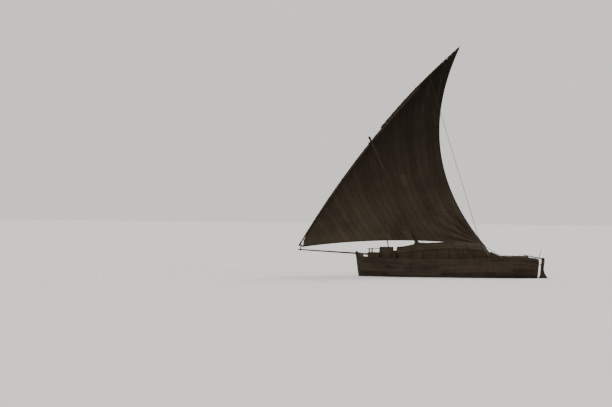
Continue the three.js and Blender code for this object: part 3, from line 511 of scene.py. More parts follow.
def canvas():
    """Tanned sailcloth, made paler at the foot by painted light and darker aloft by painted shade. UV x is
    the distance from the leech, so its whole number of cloth widths names a cloth, and its remainder finds
    the seam. A few random cells of a cloth are patches with a stitched edge."""
    made, tree, shader, uv, objects = finish("canvas", 0.9, Specular_IOR_Level=0.06)
    parts = parts_of(tree, uv)
    across = maths(tree, "DIVIDE", parts[0], CLOTH_WIDTH)
    along = maths(tree, "DIVIDE", parts[1], PATCH_LENGTH)
    cloth = maths(tree, "FLOOR", across)
    cell = place(tree, "ShaderNodeCombineXYZ", {0: cloth, 1: maths(tree, "FLOOR", along)}).outputs[0]
    tone = place(tree, "ShaderNodeTexWhiteNoise", {"W": cloth}, noise_dimensions="1D").outputs["Value"]
    chance = place(tree, "ShaderNodeTexWhiteNoise", {"Vector": cell}, noise_dimensions="2D").outputs["Value"]
    patched = maths(tree, "GREATER_THAN", chance, UNPATCHED)
    seam = ramp(tree, off_middle(tree, across), 0.455, 0.49)
    patch_edge = times(tree, ramp(tree, off_middle(tree, along), 0.46, 0.49), patched)
    stitched = maths(tree, "MAXIMUM", seam, patch_edge)
    stain = add_group(tree, STAIN, Vector=objects, Size=0.45)
    high = parts_of(tree, objects)[2]
    colour = layered(
        tree,
        mixed(tree, tone, (0.0240, 0.0182, 0.0122), (0.0400, 0.0305, 0.0208)),
        (patched, 0.35, (0.070, 0.055, 0.038)),
        # Painted light: paler towards the foot, below 15 m.
        (ramp(tree, high, 15.0, 0.0), 0.5, (0.068, 0.052, 0.035)),
        # Painted shade: darker aloft, from 3 m up to 17 m.
        (ramp(tree, high, 3.0, 17.0), 0.85, (0.0060, 0.0048, 0.0034)),
        (stain["Patch"], 0.5, (0.0170, 0.0132, 0.0092)),
        (stain["Runs"], 0.3, (0.036, 0.029, 0.021)),
        (stitched, 0.7, (0.008, 0.0065, 0.0052)),
    )
    weave = add_group(tree, WEAVE, Vector=uv, Strand=0.006)
    height = maths(tree, "ADD", times(tree, weave["Height"], 0.15), stitched)
    set_surface(tree, shader, colour, height, 0.006)
    return made


# %% Rope and iron
def rope_finish():
    """Coir rope: laid strands with painted shade in the grooves between them and painted light on their
    crests, and sun-bleached patches.
    """
    made, tree, shader, uv, objects = finish("cordage", 0.95, Specular_IOR_Level=0.12)
    lay = add_group(tree, LAY, Vector=uv, Strand=0.022)
    stain = add_group(tree, STAIN, Vector=objects, Size=2.5)
    # The colour follows the lay's height: painted shade in the grooves, painted light on the crests.
    colour = mixed(tree, lay["Height"], (0.009, 0.0066, 0.0040), (0.040, 0.029, 0.017))
    colour = layered(tree, colour, (stain["Patch"], 0.4, (0.050, 0.039, 0.025)))
    set_surface(tree, shader, colour, lay["Height"], 0.008)
    return made


def iron():
    """Forged iron: black scale broken by orange rust, which is rough and not metallic."""
    made, tree, shader, _, objects = finish("iron")
    rust = ramp(tree, noise(tree, objects, 9.0, 6.0, 0.7), 0.42, 0.6)
    colour = mixed(tree, rust, (0.018, 0.017, 0.017), (0.060, 0.024, 0.011))
    metal = maths(tree, "SUBTRACT", 0.8, times(tree, rust, 0.8))
    set_surface(tree, shader, colour, rust, 0.003, Roughness=ramp(tree, rust, -1.0, 1.4), Metallic=metal)
    return made


MATTING, CANVAS, CORDAGE, IRON = matting(), canvas(), rope_finish(), iron()
print("finishes:", [made.name for made in bpy.data.materials])

# %% [markdown]
# ## The hull's form
#
# The planking is one smooth surface of two numbers: a place along the boat, and a share of the way up from
# the keel to the sheer. A short table gives each section's half-breadth, how full its bilge is and how
# hollow it runs to the keel. A sculpted mesh could look the same, but a formula also tells planks, rails
# and decks where they lie. The frame has flat facets between the same sections, so a plank that follows the
# smooth surface lies on its solid.

# %% The hull as a function
# Columns: place, half-breadth, fullness of the bilge, hollow to the keel, heights of rabbet and sheer
SECTIONS = np.array([
    [-7.868, 1.56, 2.6, 2.6, -1.1, 1.55],
    [-7.3, 1.74, 2.6, 2.3, -1.105, 1.612],
    [-6.4, 1.95, 2.6, 1.8, -1.115, 1.685],
    [-5.2, 2.14, 2.75, 1.35, -1.125, 1.715],
    [-3.6, 2.31, 2.9, 1.0, -1.14, 1.69],
    [-2.0, 2.41, 3.0, 0.82, -1.15, 1.625],
    [-0.3, 2.45, 3.0, 0.74, -1.15, 1.56],
    [1.5, 2.43, 3.0, 0.72, -1.15, 1.54],
    [3.0, 2.33, 2.9, 0.78, -1.15, 1.545],
    [4.3, 2.12, 2.6, 0.95, -1.15, 1.575],
    [5.5, 1.76, 2.3, 1.15, -1.15, 1.605],
    [6.4, 1.3, 2.0, 1.3, -1.15, 1.635],
    [7.0, 0.9, 1.8, 1.35, -1.15, 1.66],
    [7.45, 0.52, 1.5, 1.35, -1.15, 1.68],
    [7.79, 0.11, 1.3, 1.3, -1.15, 1.695],
])
AFT_END, FORE_END = SECTIONS[0, 0], SECTIONS[-1, 0]
KEEL_BOTTOM = -1.35
BOTTOM_HALF = 0.09
WALL = 0.08  # planking and frames together
INNER_LEAST = 0.04  # half-breadth inside, where the ends are solid
STERN_X, STERN_RAKE = -7.73, 0.0892  # the transom at the waterline, and how far aft it leans for each metre
STEM_X, STEM_RAKE, STEM_CURVE, STEM_DEPTH = 7.73, 0.137, 0.5, 0.17
SHARE_STEP, PLACE_STEP = 0.004, 0.02  # small changes, for the slope of the planking
SIDES = (1, -1)  # port, starboard


def through(column):
    """A smooth line through a column of the table: between two rows it is the straight line plus q(1-q)
    times a bend that gives each row the mean slope of its neighbours."""
    places, values = SECTIONS[:, 0], SECTIONS[:, column]
    wide_places, wide_values = np.pad(places, 1, mode="edge"), np.pad(values, 1, mode="edge")
    slopes = (wide_values[2:] - wide_values[:-2]) / (wide_places[2:] - wide_places[:-2])

    def value(at):
        at = np.clip(at, places[0], places[-1])
        row = np.clip(np.searchsorted(places, at) - 1, 0, len(places) - 2)
        span = places[row + 1] - places[row]
        rise = values[row + 1] - values[row]
        q = (at - places[row]) / span
        bend = (slopes[row] * span - rise) * (1 - q) + (rise - slopes[row + 1] * span) * q
        return values[row] + rise * q + q * (1 - q) * bend

    return value


half_at, fullness_at, hollow_at, rabbet_at, sheer_at = (through(column) for column in range(1, 6))


# %% The planking's surface
def stem_x(z):
    """Fore face of the stem: it rakes forward going up, and curves aft below the waterline."""
    return STEM_X + STEM_RAKE * z - STEM_CURVE * (np.maximum(0, -z) / -KEEL_BOTTOM) ** 2


def along_hull(at, z):
    """A place becomes an x that leans with the sternpost aft and with the stem forward."""
    aft, fore = STERN_X - STERN_RAKE * z, stem_x(z) - STEM_DEPTH
    return aft + (fore - aft) * (at - AFT_END) / (FORE_END - AFT_END)


def place_of(x, z):
    """The place that lies at an x, at a height."""
    aft, fore = along_hull(AFT_END, z), along_hull(FORE_END, z)
    return AFT_END + (x - aft) / (fore - aft) * (FORE_END - AFT_END)


def skin_half(at, z):
    """Half-breadth outside the planking: from the keel's half-width to the section's, by the section's
    curve."""
    share = np.clip((z - rabbet_at(at)) / (sheer_at(at) - rabbet_at(at)), 0, 1)
    full = (1 - (1 - share) ** fullness_at(at)) ** hollow_at(at)
    return BOTTOM_HALF + (half_at(at) - BOTTOM_HALF) * full


def inner_half(at, z):
    """Half-breadth inside the planking."""
    return np.maximum(INNER_LEAST, skin_half(at, z) - WALL)


def keep_dry(piece):
    """Marks a piece's points inside the planking, where the finish paints no lime below the waterline."""
    x, y, z = points_of(piece.data).T
    at = place_of(x, z)
    mark_points(piece.data, "dry", np.abs(y) < (skin_half(at, z) + inner_half(at, z)) / 2)


def skin(at, share, out=0.0):
    """A point of the port side, moved out along the surface's normal, which is the cross product of the
    steps that a small change of share and of place make."""
    at, share = np.broadcast_arrays(np.asarray(at, float), np.asarray(share, float))

    def point(a, s):
        z = rabbet_at(a) + s * (sheer_at(a) - rabbet_at(a))
        return np.stack([along_hull(a, z), skin_half(a, z), z], axis=-1)

    low = np.clip(share - SHARE_STEP, SHARE_STEP, 1 - 2 * SHARE_STEP)
    high = np.clip(share + SHARE_STEP, 2 * SHARE_STEP, 1)
    aft = np.clip(at - PLACE_STEP, AFT_END, FORE_END - 2 * PLACE_STEP)
    fore = np.clip(at + PLACE_STEP, AFT_END + 2 * PLACE_STEP, FORE_END)
    normal = unit(np.cross(point(at, high) - point(at, low), point(fore, share) - point(aft, share)))
    return point(at, share) + normal * np.asarray(out, float)[..., None]


def both_sides(rings):
    """The rings of port pieces, and their mirror images to starboard."""
    return np.concatenate([rings, rings * (1, -1, 1)])


print("hull:", round(FORE_END - AFT_END, 2), "m by", round(2 * half_at(0.0), 2), "m")

# %% [markdown]
# ## Planking
#
# Such a hull is planked edge to edge on frames, with some fourteen strakes a side, and each strake is four
# planks butted end to end. One smooth surface with painted lines would do from afar, but real planks catch
# the light at their seams. So each plank is a closed strip whose outer edges and ends are cut back into a
# caulked groove.

# %% Lay the strakes
STRAKES = 14
PLANK_LENGTH = 4.7
FIRST_BUTT, BUTT_SHIFT = 1.3, 1.83  # where a strake's butts begin, and how far the next strake's are moved
SEAM = 0.011  # half the width of a seam's groove
GROOVE = 0.013  # its depth
CROWN = 0.003  # how far a plank's middle stands out


def plank_table():
    """The ends and edges of all planks of one side. Strakes have equal girth amidships, and their butts are
    shifted so that no two neighbours end in one place."""
    shares = np.linspace(0, 1, 400)
    girth = distances(skin(np.zeros(400), shares))
    edges = np.interp(np.linspace(0, girth[-1], STRAKES + 1), girth, shares)
    rows = []
    for strake in range(STRAKES):
        shift = FIRST_BUTT + (strake * BUTT_SHIFT) % (PLANK_LENGTH - 1.2)
        butts = [AFT_END, *np.arange(AFT_END + shift, FORE_END - 1.0, PLANK_LENGTH), FORE_END]
        rows += [(a, b, edges[strake], edges[strake + 1]) for a, b in zip(butts, butts[1:])]
    return np.array(rows).T, edges


def plank_rings(aft, fore, low, high):
    """Rings of planks from their ends and edges. Points run from the inner low corner over the outer face
    to the inner high corner. The outer face is sunk at both ends, so that a butt is a groove as a seam
    is."""
    steps = np.concatenate([[0], np.linspace(0, 1, 24), [1]])
    inset, sunk = np.zeros(len(steps)), np.zeros(len(steps))
    inset[[1, -2]] = SEAM
    sunk[[0, -1]] = -GROOVE
    at = aft[:, None] + (fore - aft)[:, None] * steps + np.sign(0.5 - steps) * inset
    low, high = np.broadcast_to(low[:, None], at.shape), np.broadcast_to(high[:, None], at.shape)
    metre = (high - low) / np.linalg.norm(skin(at, high) - skin(at, low), axis=-1)
    crowned = sunk + CROWN * (sunk == 0)
    outer = [
        skin(at, low, -GROOVE),
        skin(at, low + metre * SEAM, sunk),
        skin(at, low + (high - low) * 0.33, crowned),
        skin(at, low + (high - low) * 0.67, crowned),
        skin(at, high - metre * SEAM, sunk),
        skin(at, high, -GROOVE),
    ]
    inner = [outer[0].copy(), outer[-1].copy()]
    for corner in inner:
        corner[..., 1] = np.maximum(INNER_LEAST, corner[..., 1] - WALL + GROOVE)
    return np.stack([inner[0], *outer, inner[1]], axis=2)


plank_ends_and_edges, strake_edges = plank_table()
plank_sides = both_sides(plank_rings(*plank_ends_and_edges))
keep_dry(add_runs("hull_planks", plank_sides, PLANKING, "hull_shell", smooth=30))

# %% [markdown]
# ## Nails along the frames
#
# Planks are fastened to every frame with two iron nails, driven through and clenched. Their heads draw
# faint upright rows on the side. Each head is a low disc of few faces: bump would be lighter, but discs
# hold up close by.

# %% Nail heads
FRAME_SPACING = 0.42
NAILS_FROM = 0.42  # share of the planking's height where the rows begin
NAILS_ACROSS = (0.22, 0.78)  # shares of a strake's width
SIDE_HEIGHT = 2.8  # metres from the rabbet to the sheer, about
frame_places = np.arange(AFT_END + 0.35, FORE_END - 0.5, FRAME_SPACING)


def nail_heads():
    """Discs that stand 8 mm proud, two a strake at each frame: a ring just inside the plank, one 5 mm out
    and a smaller one on top."""
    widths = np.diff(strake_edges)
    levels = np.concatenate([strake_edges[:-1] + widths * across for across in NAILS_ACROSS])
    at, share = np.meshgrid(frame_places, levels[levels > NAILS_FROM])
    at, share = at.reshape(-1, 1), share.reshape(-1, 1)
    rings = []
    for radius, out in ((0.017, -0.002), (0.017, 0.005), (0.009, 0.008)):
        ring = circle(radius, 6)
        rings.append(skin(at + ring[:, 0], share + ring[:, 1] / SIDE_HEIGHT, np.full((1, 6), out)))
    return both_sides(np.stack(rings, axis=1))


add_runs("nail_heads", nail_heads(), IRON, smooth=20)

# %% [markdown]
# ## Rails, wales and decks
#
# A rail, a wale or a deck plank follows the hull with a section of its own. A bevelled box bent along a
# curve would do, but would not lean with the hull's ends. So one function takes the section's four edges at
# each place, cuts its corners and puts it on the leaning hull.


# %% Pieces that run along the hull
def lengthwise(at, inner, outer, bottom, top, chamfer):
    """Rings of a chamfered bar on the port side. Each edge is an array like at. x leans with the hull's
    ends."""
    c = np.minimum(chamfer, np.minimum(outer - inner, top - bottom) * 0.45)
    y = [inner + c, outer - c, outer, outer, outer - c, inner + c, inner, inner]
    z = [bottom, bottom, bottom + c, top - c, top, top, top - c, bottom + c]
    y, z = np.stack(y, axis=-1), np.stack(z, axis=-1)
    return np.stack([along_hull(at[..., None], z), y, z], axis=-1)


def scarfed(start, end, length, stations=22, gap=0.004):
    """Places along planks that follow each other from start to end: pieces by stations, with a thin gap
    between."""
    count = max(1, round((end - start) / length))
    joints = np.linspace(start, end, count + 1)
    return np.stack([np.linspace(a + gap, b - gap, stations) for a, b in zip(joints, joints[1:])])


# %% Wales and cap rails
WALE_LEVELS = (0.84, 0.895)  # shares of the planking's height
WALE_PROUD = 0.045
CAP_HEIGHT = 0.06


def cap_top(x):
    """Top of the cap rail."""
    return sheer_at(x) + CAP_HEIGHT


def wale_rings():
    """A thick belt on the planking between two shares of its height, sunk a centimetre into it."""
    at = scarfed(AFT_END, 7.45, length=5.1)
    bottom, top = (rabbet_at(at) + level * (sheer_at(at) - rabbet_at(at)) for level in WALE_LEVELS)
    inner = skin_half(at, (bottom + top) / 2) - 0.01
    return lengthwise(at, inner, inner + 0.01 + WALE_PROUD, bottom, top, chamfer=0.014)


def cap_rings():
    """The cap rail, which lies over the planking's edge and the frames' heads."""
    at = scarfed(AFT_END, FORE_END - 0.004, length=4.4)
    inner = np.maximum(half_at(at) - 0.155, 0.02)
    return lengthwise(at, inner, half_at(at) + 0.035, sheer_at(at), cap_top(at), chamfer=0.016)


add_runs("wales", both_sides(wale_rings()), PLANKING, "wale_port", "wale_starboard", smooth=30)
gunwales = ("gunwale_port", "gunwale_starboard")
add_runs("cap_rails", both_sides(cap_rings()), TIMBER, *gunwales, smooth=30, slot="planking")


# %% Decks
DECK_THICK = 0.06
DECK_PLANK = 0.17  # its width
DECK_GAP = 0.001  # half the gap between two planks
FORE_DECK_TOP, SIDE_DECK_TOP, POOP_DECK_TOP = 1.45, 1.5, 1.52


def deck_rings(start, end, top):
    """Fore-and-aft deck planks from one x to another. A plank that the side cuts off is narrowed to the
    hull's inside, and starts and ends where its inner edge meets it."""
    places = np.linspace(place_of(start, top), place_of(end, top), 400)
    room = inner_half(places, top - DECK_THICK) - DECK_GAP
    inner_edges = np.arange(0, room.max() - 0.04, DECK_PLANK)
    rows = []
    for edge in inner_edges:
        inside = np.flatnonzero(room > edge + 0.02)
        rows.append(np.linspace(places[inside[0]], places[inside[-1]], 24))
    at = np.stack(rows)
    side = inner_half(at, top - DECK_THICK) - DECK_GAP
    low = np.broadcast_to(inner_edges[:, None], at.shape) + DECK_GAP
    high = np.minimum(low + DECK_PLANK - 2 * DECK_GAP, np.maximum(side, low + 0.004))
    bottom, upper = np.full(at.shape, top - DECK_THICK), np.full(at.shape, top)
    rings = both_sides(lengthwise(at, low, high, bottom, upper, chamfer=0.006))
    rings[..., 0] = np.clip(rings[..., 0], start, end)
    return rings


def side_deck_rings(breadth=0.54, planks=3):
    """Planks beside the hold cover, bent to the boat's side."""
    at = np.broadcast_to(np.linspace(-3.585, 4.615, 60), (planks, 60))
    top, bottom = np.full(at.shape, SIDE_DECK_TOP), np.full(at.shape, SIDE_DECK_TOP - DECK_THICK)
    first = half_at(at) - breadth
    last = inner_half(at, bottom) - DECK_GAP
    share = np.arange(planks)[:, None] / planks
    low = first + (last - first) * share + DECK_GAP
    high = first + (last - first) * (share + 1 / planks) - DECK_GAP
    return lengthwise(at, low, high, bottom, top, chamfer=0.006)


for deck, top in (("fore_deck", FORE_DECK_TOP), ("poop_deck", POOP_DECK_TOP)):
    aft_corner, fore_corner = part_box(deck)
    add_runs(deck + "_planks", deck_rings(aft_corner.x, fore_corner.x, top), DECKING, deck, smooth=30)
side_decks = ("side_deck_port", "side_deck_starboard")
add_runs("side_deck_planks", both_sides(side_deck_rings()), DECKING, *side_decks, smooth=30)

# %% [markdown]
# ## Heavy timbers
#
# Keel, stem, posts, beams and bitts are sawn or hewn baulks. Their solids already have the right shape, so
# each is copied, its flat faces joined up again and its edges rounded with a Bevel. Grain needs coordinates
# along the baulk: each face takes them from the piece's longest axis and the axis that lies most nearly in
# the face.


# %% Round off the frame's baulks
def lay_grain(piece):
    """UV in metres: the first runs along the piece's longest axis, or in end grain across it, the second
    beside it."""
    mesh = piece.data
    points = points_of(mesh)
    loops = np.empty(len(mesh.loops), int)
    mesh.loops.foreach_get("vertex_index", loops)
    sizes, normals = np.empty(len(mesh.polygons), int), np.empty(len(mesh.polygons) * 3)
    mesh.polygons.foreach_get("loop_total", sizes)
    mesh.polygons.foreach_get("normal", normals)
    normals = np.abs(normals.reshape(-1, 3))
    longest = int(np.ptp(points, axis=0).argmax())
    others = [axis for axis in range(3) if axis != longest]
    first = np.where(normals[:, longest] > 0.8, others[0], longest)
    flatter = np.where(normals[:, others[0]] < normals[:, others[1]], others[0], others[1])
    second = np.where(normals[:, longest] > 0.8, others[1], flatter)
    corner = points[loops]
    rows = np.arange(len(loops))
    uv = np.stack([corner[rows, np.repeat(first, sizes)], corner[rows, np.repeat(second, sizes)]], axis=-1)
    layer = mesh.uv_layers.new(name="UVMap")
    layer.data.foreach_set("uv", (uv + points.mean(axis=0)[:2] * 7).astype(np.float32).ravel())
    mark_points(mesh, "tone", np.full(len(points), random.random()))


def soften(node, finish, width, slot=None, name=None, body="hull"):
    """A copy of a solid with its triangles joined into flat faces and its edges rounded by width."""
    mesh = bmesh.new()
    mesh.from_mesh(nodes[node].data)
    bmesh.ops.remove_doubles(mesh, verts=mesh.verts, dist=1e-5)
    bmesh.ops.dissolve_limit(mesh, angle_limit=math.radians(1), verts=mesh.verts, edges=mesh.edges)
    data = bpy.data.meshes.new(name or node + "_timber")
    mesh.to_mesh(data)
    mesh.free()
    piece = linked(data.name, data)
    lay_grain(piece)
    bevel = piece.modifiers.new("rounded_edges", "BEVEL")
    bevel.width = width
    bevel.segments = 2
    bevel.limit_method = "ANGLE"
    bevel.angle_limit = math.radians(40)
    bevel.use_clamp_overlap = True
    shade(piece, 45)
    return finished(piece, finish, node, slot=slot, body=body)


# %% The baulks
# Columns: solid, finish, rounding of its edges, slot where it isn't the finish's usual one
BAULKS = [
    ("keel", PLANKING, 0.016),
    ("stem", TIMBER, 0.018, "planking"),
    ("sternpost", TIMBER, 0.014, "planking"),
    ("fore_bulkhead", PLANKING, 0.006),
    ("aft_bulkhead", PLANKING, 0.006),
    ("keelson", TIMBER, 0.012),
    ("hold_floor", DECKING, 0.004),
    ("beam_aft", TIMBER, 0.014),
    ("mast_beam", TIMBER, 0.014),
    ("beam_fore", TIMBER, 0.014),
    ("bow_bitt_port", TIMBER, 0.012),
    ("bow_bitt_starboard", TIMBER, 0.012),
    ("sheet_bitt_port", TIMBER, 0.014),
    ("sheet_bitt_starboard", TIMBER, 0.014),
    ("halyard_post", TIMBER, 0.016),
    ("taffrail", TIMBER, 0.014),
]
for baulk in BAULKS:
    piece = soften(*baulk)
    if baulk[0] in ("keelson", "fore_bulkhead", "aft_bulkhead"):
        keep_dry(piece)

# %% [markdown]
# ## Transom, frames and stanchions
#
# The stern is closed by boards laid across between the quarters. Inside, a frame stands at every row of
# nails and its head carries the cap rail, so short heads show between the deck and the rail. A frame is a
# bar carried up the side by the hull's own formula, so it fits the planking.


# %% Boards and frames
def transom_rings(bottom=-0.95, top=1.55, boards=9, chamfer=0.008):
    """Boards across the stern. At each height they reach the planking's inside, so their ends are slanted."""
    edges = np.linspace(bottom, top, boards + 1)
    low, high = edges[:-1, None] + 0.002, edges[1:, None] - 0.002
    z = np.stack([low, low + chamfer, high - chamfer, high, high, low], axis=-1)
    x = STERN_X - STERN_RAKE * z + np.array([chamfer, 0, 0, chamfer, 0.06, 0.06])
    y = (inner_half(AFT_END, z) - 0.001) * np.linspace(-1, 1, 7)[None, :, None]
    return np.stack(np.broadcast_arrays(x, y, z), axis=-1)


add_runs("transom_boards", transom_rings(), PLANKING, "transom", smooth=30)


def frame_rings(places, low, high, depth, half=0.045, stations=12):
    """Upright frames inside the planking, from one height to another, depth metres deep inwards."""
    share = np.linspace(0, 1, stations)
    z = low + (high - low) * share[None, :]
    at = np.broadcast_to(places[:, None], (len(places), stations))
    outer = inner_half(at, z) - 0.002
    x = along_hull(at, z)
    corners = [(-half, 0), (half, 0), (half, -depth), (-half, -depth)]
    ring = [np.stack([x + dx, outer + dy, np.broadcast_to(z, x.shape)], axis=-1) for dx, dy in corners]
    return both_sides(np.stack(ring, axis=2))


hold_frames = frame_places[(frame_places > -3.4) & (frame_places < 4.5)]
hold_rings = frame_rings(hold_frames, low=-0.6, high=1.43, depth=0.09)
keep_dry(add_runs("hold_frames", hold_rings, TIMBER, smooth=30))
for name, aft, fore, deck_top in (
    ("poop_stanchions", -7.6, -3.8, POOP_DECK_TOP),
    ("fore_stanchions", 4.8, 6.9, FORE_DECK_TOP),
):
    chosen = frame_places[(frame_places > aft) & (frame_places < fore)]
    tops = sheer_at(chosen)[:, None] - 0.002
    rings = frame_rings(chosen, deck_top + 0.001, tops, depth=0.06, half=0.04, stations=2)
    add_runs(name, rings, TIMBER, smooth=30)

# %% [markdown]
# ## Matting over the hold
#
# The raised middle of the silhouette is a cover of palm mats over bent poles, with upright screens along
# its sides. A cloth simulation would let the mats sag, but they are stiff and lashed down, so the sag
# between two hoops is worked out: a squared sine that is deepest halfway. Each mat laps over the next like
# a shingle.

# %% Hoops and purlins
# Columns: place, height of the ridge
RIDGE = np.array([
    [-3.595, 2.25],
    [-3.39, 2.64],
    [-3.19, 2.89],
    [-2.85, 3.0],
    [-1.6, 3.065],
    [-0.32, 3.09],
    [0.78, 3.05],
    [1.52, 2.98],
    [2.86, 2.85],
    [3.42, 2.74],
    [4.4, 2.58],
])
HOOPS = np.array([-2.9, -1.2, 0.2, 1.64, 3.06, 4.25])
ROOF_RISE = 0.5
ROOF_LIFT = 0.012  # of the mats over the solid roof's underside
MAT_THICK = 0.016
POLE_RADIUS = 0.03


def cover_half(x):
    """Half-breadth of the hold cover."""
    return half_at(x) - 0.38


def under_roof(x, y):
    """Underside of the roof: the ridge's height, less a parabola that falls to the sides."""
    ridge = sum(np.interp(x + step, *RIDGE.T) for step in (-0.12, 0, 0.12)) / 3
    return ridge - 0.04 - ROOF_RISE * (y / cover_half(x)) ** 2


def hoop_paths():
    """Bent poles: up from the side deck, over under the roof, and down."""
    reach = cover_half(HOOPS)[:, None] - 0.07
    y = reach * np.linspace(-1, 1, 25)
    x = np.broadcast_to(HOOPS[:, None], y.shape)
    over = np.stack([x, y, under_roof(x, y) - POLE_RADIUS + ROOF_LIFT], axis=-1)
    feet = over[:, [0, -1]].copy()
    feet[..., 2] = SIDE_DECK_TOP
    knee = over[:, [0, -1]] - (0, 0, 0.12)
    return np.concatenate([feet[:, :1], knee[:, :1], over, knee[:, 1:], feet[:, 1:]], axis=1)


def purlin_paths():
    """Poles that run fore and aft under the hoops, two a side."""
    x, y = np.meshgrid(np.linspace(-2.96, 4.34, 30), [-1.35, -0.7, 0.7, 1.35])
    return np.stack([x, y, under_roof(x, y) - 3 * POLE_RADIUS + ROOF_LIFT], axis=-1)


add_runs("cover_hoops", carry(hoop_paths(), circle(POLE_RADIUS, 10), (1, 0, 0)), POLE, "cover_frame")
add_runs("cover_purlins", carry(purlin_paths(), circle(POLE_RADIUS, 10)), POLE)


# %% Sheets as grids
def surface(name, grid, thick, keep=None, uv=None):
    """A sheet from a grid of points, rows by columns, some metres thick. UV is in metres along both ways.
    keep says which cells stay."""
    grid = np.asarray(grid, float)
    rows, columns, _ = grid.shape
    number = np.arange(rows * columns).reshape(rows, columns)
    quads = np.stack([number[:-1, :-1], number[:-1, 1:], number[1:, 1:], number[1:, :-1]], axis=-1)
    if keep is not None:
        quads = quads[keep]
    quads = quads.reshape(-1, 4)
    if uv is None:
        uv = np.stack([distances(grid, axis=1), distances(grid)], axis=-1)
    uvs = np.asarray(uv).reshape(-1, 2)[quads.ravel()]
    tones = np.full(rows * columns, random.random())
    piece = make_object(name, grid.reshape(-1, 3), quads.ravel(), np.full(len(quads), 4), uvs, tones)
    if keep is not None:
        loose = bmesh.new()
        loose.from_mesh(piece.data)
        bmesh.ops.delete(loose, geom=[vert for vert in loose.verts if not vert.link_faces], context="VERTS")
        loose.to_mesh(piece.data)
        loose.free()
    shade(piece, 60)
    solidify = piece.modifiers.new("thickness", "SOLIDIFY")
    solidify.thickness = thick
    solidify.offset = 0
    return piece


# %% The roof's mats
MAST_GATE = (1.78, 3.02, 0.26)  # the opening round the mast: from, to, half-breadth
MAT_WIDTH = 1.24
OVERHANG = 0.03
SAG, LAP, DENT = 0.03, 0.014, 0.007  # depths


def roof_top(x, y):
    """Height of the mats: the roof's underside, a sag between hoops, the laps, and shallow dents."""
    row = np.clip(np.searchsorted(HOOPS, x) - 1, 0, len(HOOPS) - 2)
    q = np.clip((x - HOOPS[row]) / (HOOPS[row + 1] - HOOPS[row]), 0, 1)
    sag = SAG * np.sin(math.pi * q) ** 2 * (1 - 0.5 * np.abs(np.sin(4.5 * y)))
    lap = LAP * (((x + 3.6 + 0.03 * np.sin(5 * y)) / MAT_WIDTH) % 1)
    dents = DENT * np.sin(3.1 * x + 1.7 * y) * np.sin(4.3 * y - 1.1 * x) + 0.004 * np.sin(11 * x + 7 * y)
    return under_roof(x, y) + ROOF_LIFT + 0.018 - sag + lap + dents


def roof_grid():
    """Stations from the after lip forward, each from starboard to port. The rows meet the mast gate's
    edges."""
    x = np.unique(np.concatenate([np.linspace(RIDGE[0, 0], RIDGE[-1, 0], 150), MAST_GATE[:2]]))[:, None]
    share = np.linspace(-1, 1, 71)[None, :]
    y = share * (cover_half(x) + OVERHANG + 0.012 * np.sin(9 * x))
    beside_gate = (x[:, 0] > 1.7) & (x[:, 0] < 3.1)
    y[beside_gate, 31] = -MAST_GATE[2]
    y[beside_gate, 39] = MAST_GATE[2]
    return np.stack([np.broadcast_to(x, y.shape), y, roof_top(x, y)], axis=-1)


roof_points = roof_grid()
cell = (roof_points[:-1, :-1] + roof_points[1:, 1:]) / 2
in_gate = (cell[..., 0] > MAST_GATE[0]) & (cell[..., 0] < MAST_GATE[1]) & (abs(cell[..., 1]) < MAST_GATE[2])
roof = surface("cover_roof_mats", roof_points, MAT_THICK, ~in_gate)
finished(roof, MATTING, "cover_roof")

# %% [markdown]
# ## Screens
#
# Upright mats along the cover's sides keep spray out of the hold. Each hangs between poles and is
# stiffened by three split canes, so it bulges a little between them. The bow has a shorter pair, and the
# quarters have boards instead.

# %% Upright mats
SCREEN_THICK = 0.012
POLE_STEP = 1.1  # metres between the poles of a screen
CANE_LEVELS = np.array([0.12, 0.5, 0.88])  # shares of a screen's height
CANE_RADIUS, SCREEN_POLE_RADIUS = 0.014, 0.02
CANE_OUT, POLE_OUT = 0.018, 0.046  # how far outside the mat they stand


def screen_grid(places, y_of, bottom, top, bulge=0.014):
    """Rows from bottom to top. The bulge is a squared sine between poles."""
    x = places[None, :]
    share = np.linspace(0, 1, 24)[:, None]
    between_poles = np.sin(math.pi * x / POLE_STEP) ** 2
    low, high = bottom(places)[None, :], top(places)[None, :] - 0.012 * between_poles
    wave = bulge * between_poles * np.sin(math.pi * share) + 0.004 * np.sin(13 * x + 5 * share)
    return np.stack([np.broadcast_to(x, wave.shape), y_of(x) + wave, low + (high - low) * share], axis=-1)


def rail_screen(start, end, columns, height, slope, bulge):
    """A screen that stands on the cap rail, with a straight top that starts at a height."""
    places = np.linspace(start, end, columns)
    return screen_grid(
        places, lambda x: half_at(x) - 0.043, cap_top, lambda x: height + slope * (x - start), bulge
    )


def add_screens(name, grid, node, pole_step=POLE_STEP):
    """The screens of both sides, and the canes and the poles of both, a piece each."""
    for side, sign in zip(("port", "starboard"), SIDES):
        placed = grid * (1, sign, 1)
        mat = surface(f"{name}_{side}", placed if sign > 0 else placed[:, ::-1], SCREEN_THICK)
        finished(mat, MATTING, *([f"{node}_{side}"] if node else []))
    rows = (CANE_LEVELS * (len(grid) - 1)).astype(int)
    canes = carry(grid[rows][:, ::4] + (0, CANE_OUT, 0), circle(CANE_RADIUS, 8), (0, 0, 1))
    add_runs(name + "_canes", both_sides(canes), POLE)
    first, last = grid[0, :, 0].min() + 0.05, grid[0, :, 0].max() - 0.05
    count = max(2, round((last - first) / pole_step) + 1)
    columns = np.linspace(1, grid.shape[1] - 2, count).astype(int)
    feet, heads = grid[0][columns] + (0, POLE_OUT, 0.0), grid[-1][columns] + (0, POLE_OUT, -0.02)
    poles = carry(straight(feet, heads, 3), circle(SCREEN_POLE_RADIUS, 8), (1, 0, 0))
    add_runs(name + "_poles", both_sides(poles), POLE)


